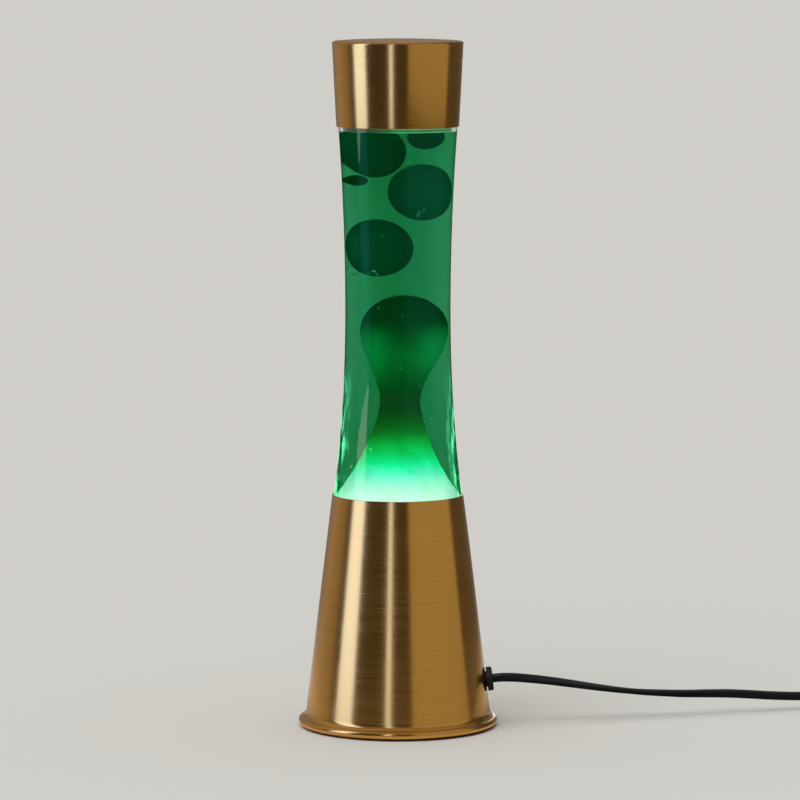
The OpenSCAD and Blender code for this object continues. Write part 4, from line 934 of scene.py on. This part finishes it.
ribSets = {}
for name, side in (("rockerRibsRight", 1), ("rockerRibsLeft", -1)):
    start = rockerSpot(side * rockerSet["first"])
    step = rockerSpot(side * (rockerSet["first"] + rockerSet["step"])) - start
    ribSets[name] = dict(body="rocker", shape=rockerSet, start=start, step=step, turn=(math.pi / 2, 0, 0))
gripStep = Vector((0, gripSet["step"] * mm, 0))
for name, side in (("plugGripRight", 1), ("plugGripLeft", -1)):
    x, y = plugSet["x"] + side * plugSet["width"] / 2, plugSet["frontY"] + gripSet["first"]
    start = Vector((x, y, plugSet["z"])) * mm
    ribSets[name] = dict(body="base", shape=gripSet, start=start, step=gripStep, turn=(0, 0, 0))
for name, s in ribSets.items():
    mesh = grown(name, bpy.data.meshes.new(name + "Host"), ribTree, dict(
        Count=s["shape"]["ribs"], Start=tuple(s["start"]), Step=tuple(s["step"]), Turn=s["turn"],
        Radius=s["shape"]["ribR"] * mm, Length=s["shape"]["ribL"] * mm, Finish=blackMoulding))
    keep(name, mesh, s["body"], [], [blackMoulding], 60)

# the tie: a strap once round the coil, with its end laid over itself
tieSet = dict(x0=312.85, x1=333.04, z0=0.89, z1=12.55, corner=1.9, cornerSteps=6, thick=0.8, width=4.0,
              tail=11.0, slope=3.0, tuck=4.0)


def tieMesh(s=tieSet):
    c, n, lap = s["corner"], s["cornerSteps"], s["thick"]
    middle = (s["x0"] + s["x1"]) / 2
    lapEnd = middle + s["tail"] / 2
    path = [((middle - s["tail"] / 2, s["z1"] + lap), 90), ((lapEnd - s["slope"], s["z1"] + lap), 90),
            ((lapEnd, s["z1"]), 90)]
    for centre, start in (((s["x1"] - c, s["z1"] - c), 90), ((s["x1"] - c, s["z0"] + c), 0),
                          ((s["x0"] + c, s["z0"] + c), -90), ((s["x0"] + c, s["z1"] - c), -180)):
        path += zip(arc(centre, c, start, start - 90, n), [start - 90 * i / n for i in range(n + 1)])
    path.append(((lapEnd - s["tuck"], s["z1"]), 90))
    work = bmesh.new()
    rings = []
    for (x, z), a in path:
        outX, outZ = math.cos(math.radians(a)) * s["thick"], math.sin(math.radians(a)) * s["thick"]
        rings.append([
            work.verts.new(Vector((x + outX * k, coilSet["y"] + s["width"] / 2 * side, z + outZ * k)) * mm)
            for k, side in ((0, -1), (0, 1), (1, 1), (1, -1))])
    return skinned("coilTie", work, rings)


keep("coilTie", tieMesh(), "base", ["coil_tie"], [blackMoulding])
print("switch, plug and tie made")


# the rest of the frame keeps its shape and takes a finish by its slot
slotFinish = dict(
    brass_finish=brass, steel=steel, plate_black=blackPaint, rubber=blackRubber, holder_white=whiteMoulding,
    contact_brass=contactBrass, cord_black=cordVinyl, core_brown=brownCore, tie_black=blackMoulding,
    bulb_clear=bulbGlass, insulator_black=blackMoulding, bottle_clear=bottleGlass,
    liquid_green=liquidFinish, wax_green=paintedWaxGlow, plastic_black=blackMoulding)
for part in frame["record"]["subparts"]:
    mesh = frame["nodes"][part["node"]].data
    mesh.materials.clear()
    mesh.materials.append(slotFinish[part["material_slot"]])
print("frame finished")

# the lamp cord's exit and route in metres, worked out here but not kept
tuple(cordExit * mm)
[tuple(p * mm) for p in lampRoute]


# floor, and the plain paper that the camera sees behind it
stageSet = dict(floor=tone(0.70, 0.685, 0.655), floorDeep=tone(0.685, 0.67, 0.64), floorCloud=0.7,
                floorHalf=60.0, paper=tone(0.651, 0.631, 0.592))


def floorFinish(s=stageSet):
    f = Finish("paleFloor")
    shade = f.blend(f.noise(s["floorCloud"], 2.0), s["floorDeep"], s["floor"])
    return f.surface(f.node("BsdfDiffuse", None, {"Color": shade, "Roughness": 0.0}))


def flatPiece(name, points, faces, finish):
    mesh = bpy.data.meshes.new(name)
    mesh.from_pydata(points, [], faces)
    mesh.materials.append(finish)
    piece = bpy.data.objects.new(name, mesh)
    scene.collection.objects.link(piece)
    return piece


half = stageSet["floorHalf"]
floorCorners = [(-half, -half, 0), (half, -half, 0), (half, half, 0), (-half, half, 0)]
floor = flatPiece("floor", floorCorners, [(0, 1, 2, 3)], floorFinish())

# the room that the metal mirrors: dark in front, paler behind and to the left, and light overhead
roomSet = dict(front=tone(0.052, 0.049, 0.045), backFrom=0.02, backRise=5.0, dimmer=0.8)
roomStops = [  # behind, from left to right
    (0.0, (0.25, 0.24, 0.225)), (0.11, (0.36, 0.345, 0.32)), (0.33, (0.21, 0.20, 0.187)),
    (0.52, (0.26, 0.25, 0.23)), (0.80, (0.10, 0.095, 0.085)), (1.0, (0.09, 0.086, 0.08))]
overheadStops = [  # from level to straight up
    (0.0, (0.0, 0.0, 0.0)), (0.55, (0.015, 0.015, 0.015)), (0.85, (0.9, 0.9, 0.89)),
    (1.0, (1.3, 1.3, 1.29))]


def roomShade(g, way, s=roomSet):
    across = g.node("SeparateXYZ", None, {0: way}, "X") * 0.5 + 0.5
    behind = g.node("ValToRGB", {"stops": roomStops}, {0: across})
    back = ((g.node("SeparateXYZ", None, {0: way}, "Y") - s["backFrom"]) * s["backRise"]).clamped()
    return g.blend(back, s["front"], behind)


# a ring on the floor with the same shades, paler near the lamp, which only the metal sees
cardSet = dict(near=0.0635, far=58.0, lift=0.002, turns=64, pale=tone(0.56, 0.54, 0.50), paleTo=0.75,
               paleOver=0.5, easeOver=0.12)


def cardFinish(s=cardSet):
    f = Finish("roomCard")
    way = f.node("VectorMath", {"operation": "NORMALIZE"}, {0: f.point()})
    reach = f.node("VectorMath", {"operation": "LENGTH"}, {0: f.point()}, "Value")
    near = ((s["paleTo"] - reach) / s["paleOver"]).clamped() * ((reach - s["near"]) / s["easeOver"]).clamped()
    return f.surface(f.node("Emission", None, {"Color": f.blend(near, roomShade(f, way), s["pale"])}))


cardPoints = []
for a in [2 * math.pi * k / cardSet["turns"] for k in range(cardSet["turns"])]:
    for r in (cardSet["near"], cardSet["far"]):
        cardPoints.append((math.sin(a) * r, -math.cos(a) * r, cardSet["lift"]))
n = len(cardPoints)
cardFaces = [(k, k + 1, (k + 3) % n, (k + 2) % n) for k in range(0, n, 2)]
roomCard = flatPiece("roomCard", cardPoints, cardFaces, cardFinish())
roomCard.visible_camera = roomCard.visible_diffuse = False
roomCard.visible_transmission = roomCard.visible_shadow = False

room = bpy.data.worlds.new("room")
scene.world = room
sky = Finish("room", room)
way = sky.node("TexCoord", output="Generated")
overhead = sky.node("ValToRGB", {"stops": overheadStops}, {0: sky.node("SeparateXYZ", None, {0: way}, "Z")})
mirrored = sky.node("LightPath", output="Is Glossy Ray")
overhead = sky.node("VectorMath", {"operation": "SCALE"}, {
    0: overhead, "Scale": 1.0 - mirrored * roomSet["dimmer"]})
glow = sky.node("Mix", {"data_type": "RGBA", "blend_type": "ADD"}, {
    0: 1.0, 6: overhead, 7: roomShade(sky, way)}, 2)
direct = [sky.node("LightPath", output=ray) for ray in ("Is Camera Ray", "Is Transmission Ray")]
seen = sky.blend((direct[0] + direct[1]).atMost(1.0), glow, stageSet["paper"])
sky.surface(sky.node("Background", None, {"Color": seen, "Strength": 1.0}))


# pieces that a light is kept to, or kept from
def gathered(name, pieces):
    group = bpy.data.collections.new(name)
    for piece in pieces:
        group.objects.link(piece)
    return group


# the strips of light are for the brass; the glass has faint ones of its own
shiny = gathered("shiny", (baseShell, cap))
glassy = gathered("glassy", (bottle,))
roomCard.light_linking.receiver_collection = shiny

# soft panels that face the lamp, in metres; azimuth from the camera's side, left is negative
panels = dict(
    leftStrip=dict(azimuth=-71, distance=1.1, low=0.01, high=1.4, width=0.48, radiance=1.45,
                   shade=(0.87, 1.38, 3.7), lit=shiny),
    nearStrip=dict(azimuth=-12, distance=1.0, low=0.01, high=1.3, width=0.11, radiance=1.3,
                   shade=(0.90, 1.34, 3.1), lit=shiny),
    rightPanel=dict(azimuth=58.7, distance=1.3, low=0.01, high=1.5, width=2.25, radiance=0.35,
                    shade=(1.0, 1.02, 0.90), lit=shiny),
    backStrip=dict(azimuth=172, distance=1.1, low=0.01, high=0.395, width=0.24, radiance=0.9,
                   shade=(1.0, 1.25, 1.9), lit=shiny),
    lowStrip=dict(azimuth=-75, distance=1.1, low=0.01, high=0.174, width=0.46, radiance=0.5,
                  shade=(0.10, 0.75, 0.80), lit=glassy),
    windowStrip=dict(azimuth=-75, distance=1.1, low=0.174, high=1.4, width=0.42, radiance=2.0,
                     shade=(0.95, 1.0, 0.95), lit=glassy),
    rightVeil=dict(azimuth=58.7, distance=1.3, low=0.01, high=1.5, width=2.25, radiance=0.17,
                   shade=(0.12, 1.0, 0.95), lit=glassy))
for name, s in panels.items():
    data = bpy.data.lights.new(name, "AREA")
    data.shape = "RECTANGLE"
    data.size, data.size_y = s["width"], s["high"] - s["low"]
    data.energy = s["radiance"] * math.pi * s["width"] * (s["high"] - s["low"])
    data.color = s["shade"]
    lamp = bpy.data.objects.new(name, data)
    a = math.radians(s["azimuth"])
    lamp.location = (math.sin(a) * s["distance"], -math.cos(a) * s["distance"], (s["low"] + s["high"]) / 2)
    lamp.rotation_euler = (math.radians(90), 0, a)
    lamp.visible_camera = lamp.visible_diffuse = lamp.visible_transmission = False
    lamp.light_linking.receiver_collection = s["lit"]
    scene.collection.objects.link(lamp)

# a wide sun lights all but the brass
sunSet = dict(energy=1.15, spread=55, turn=(32, -24, 0))
sunData = bpy.data.lights.new("softSun", "SUN")
sunData.energy = sunSet["energy"]
sunData.angle = math.radians(sunSet["spread"])
softSun = bpy.data.objects.new("softSun", sunData)
softSun.rotation_euler = [math.radians(turn) for turn in sunSet["turn"]]
scene.collection.objects.link(softSun)
unsunned = gathered("unsunned", (baseShell, cap))
for member in unsunned.collection_objects:
    member.light_linking.link_state = "EXCLUDE"
softSun.light_linking.receiver_collection = unsunned
print("stage made")
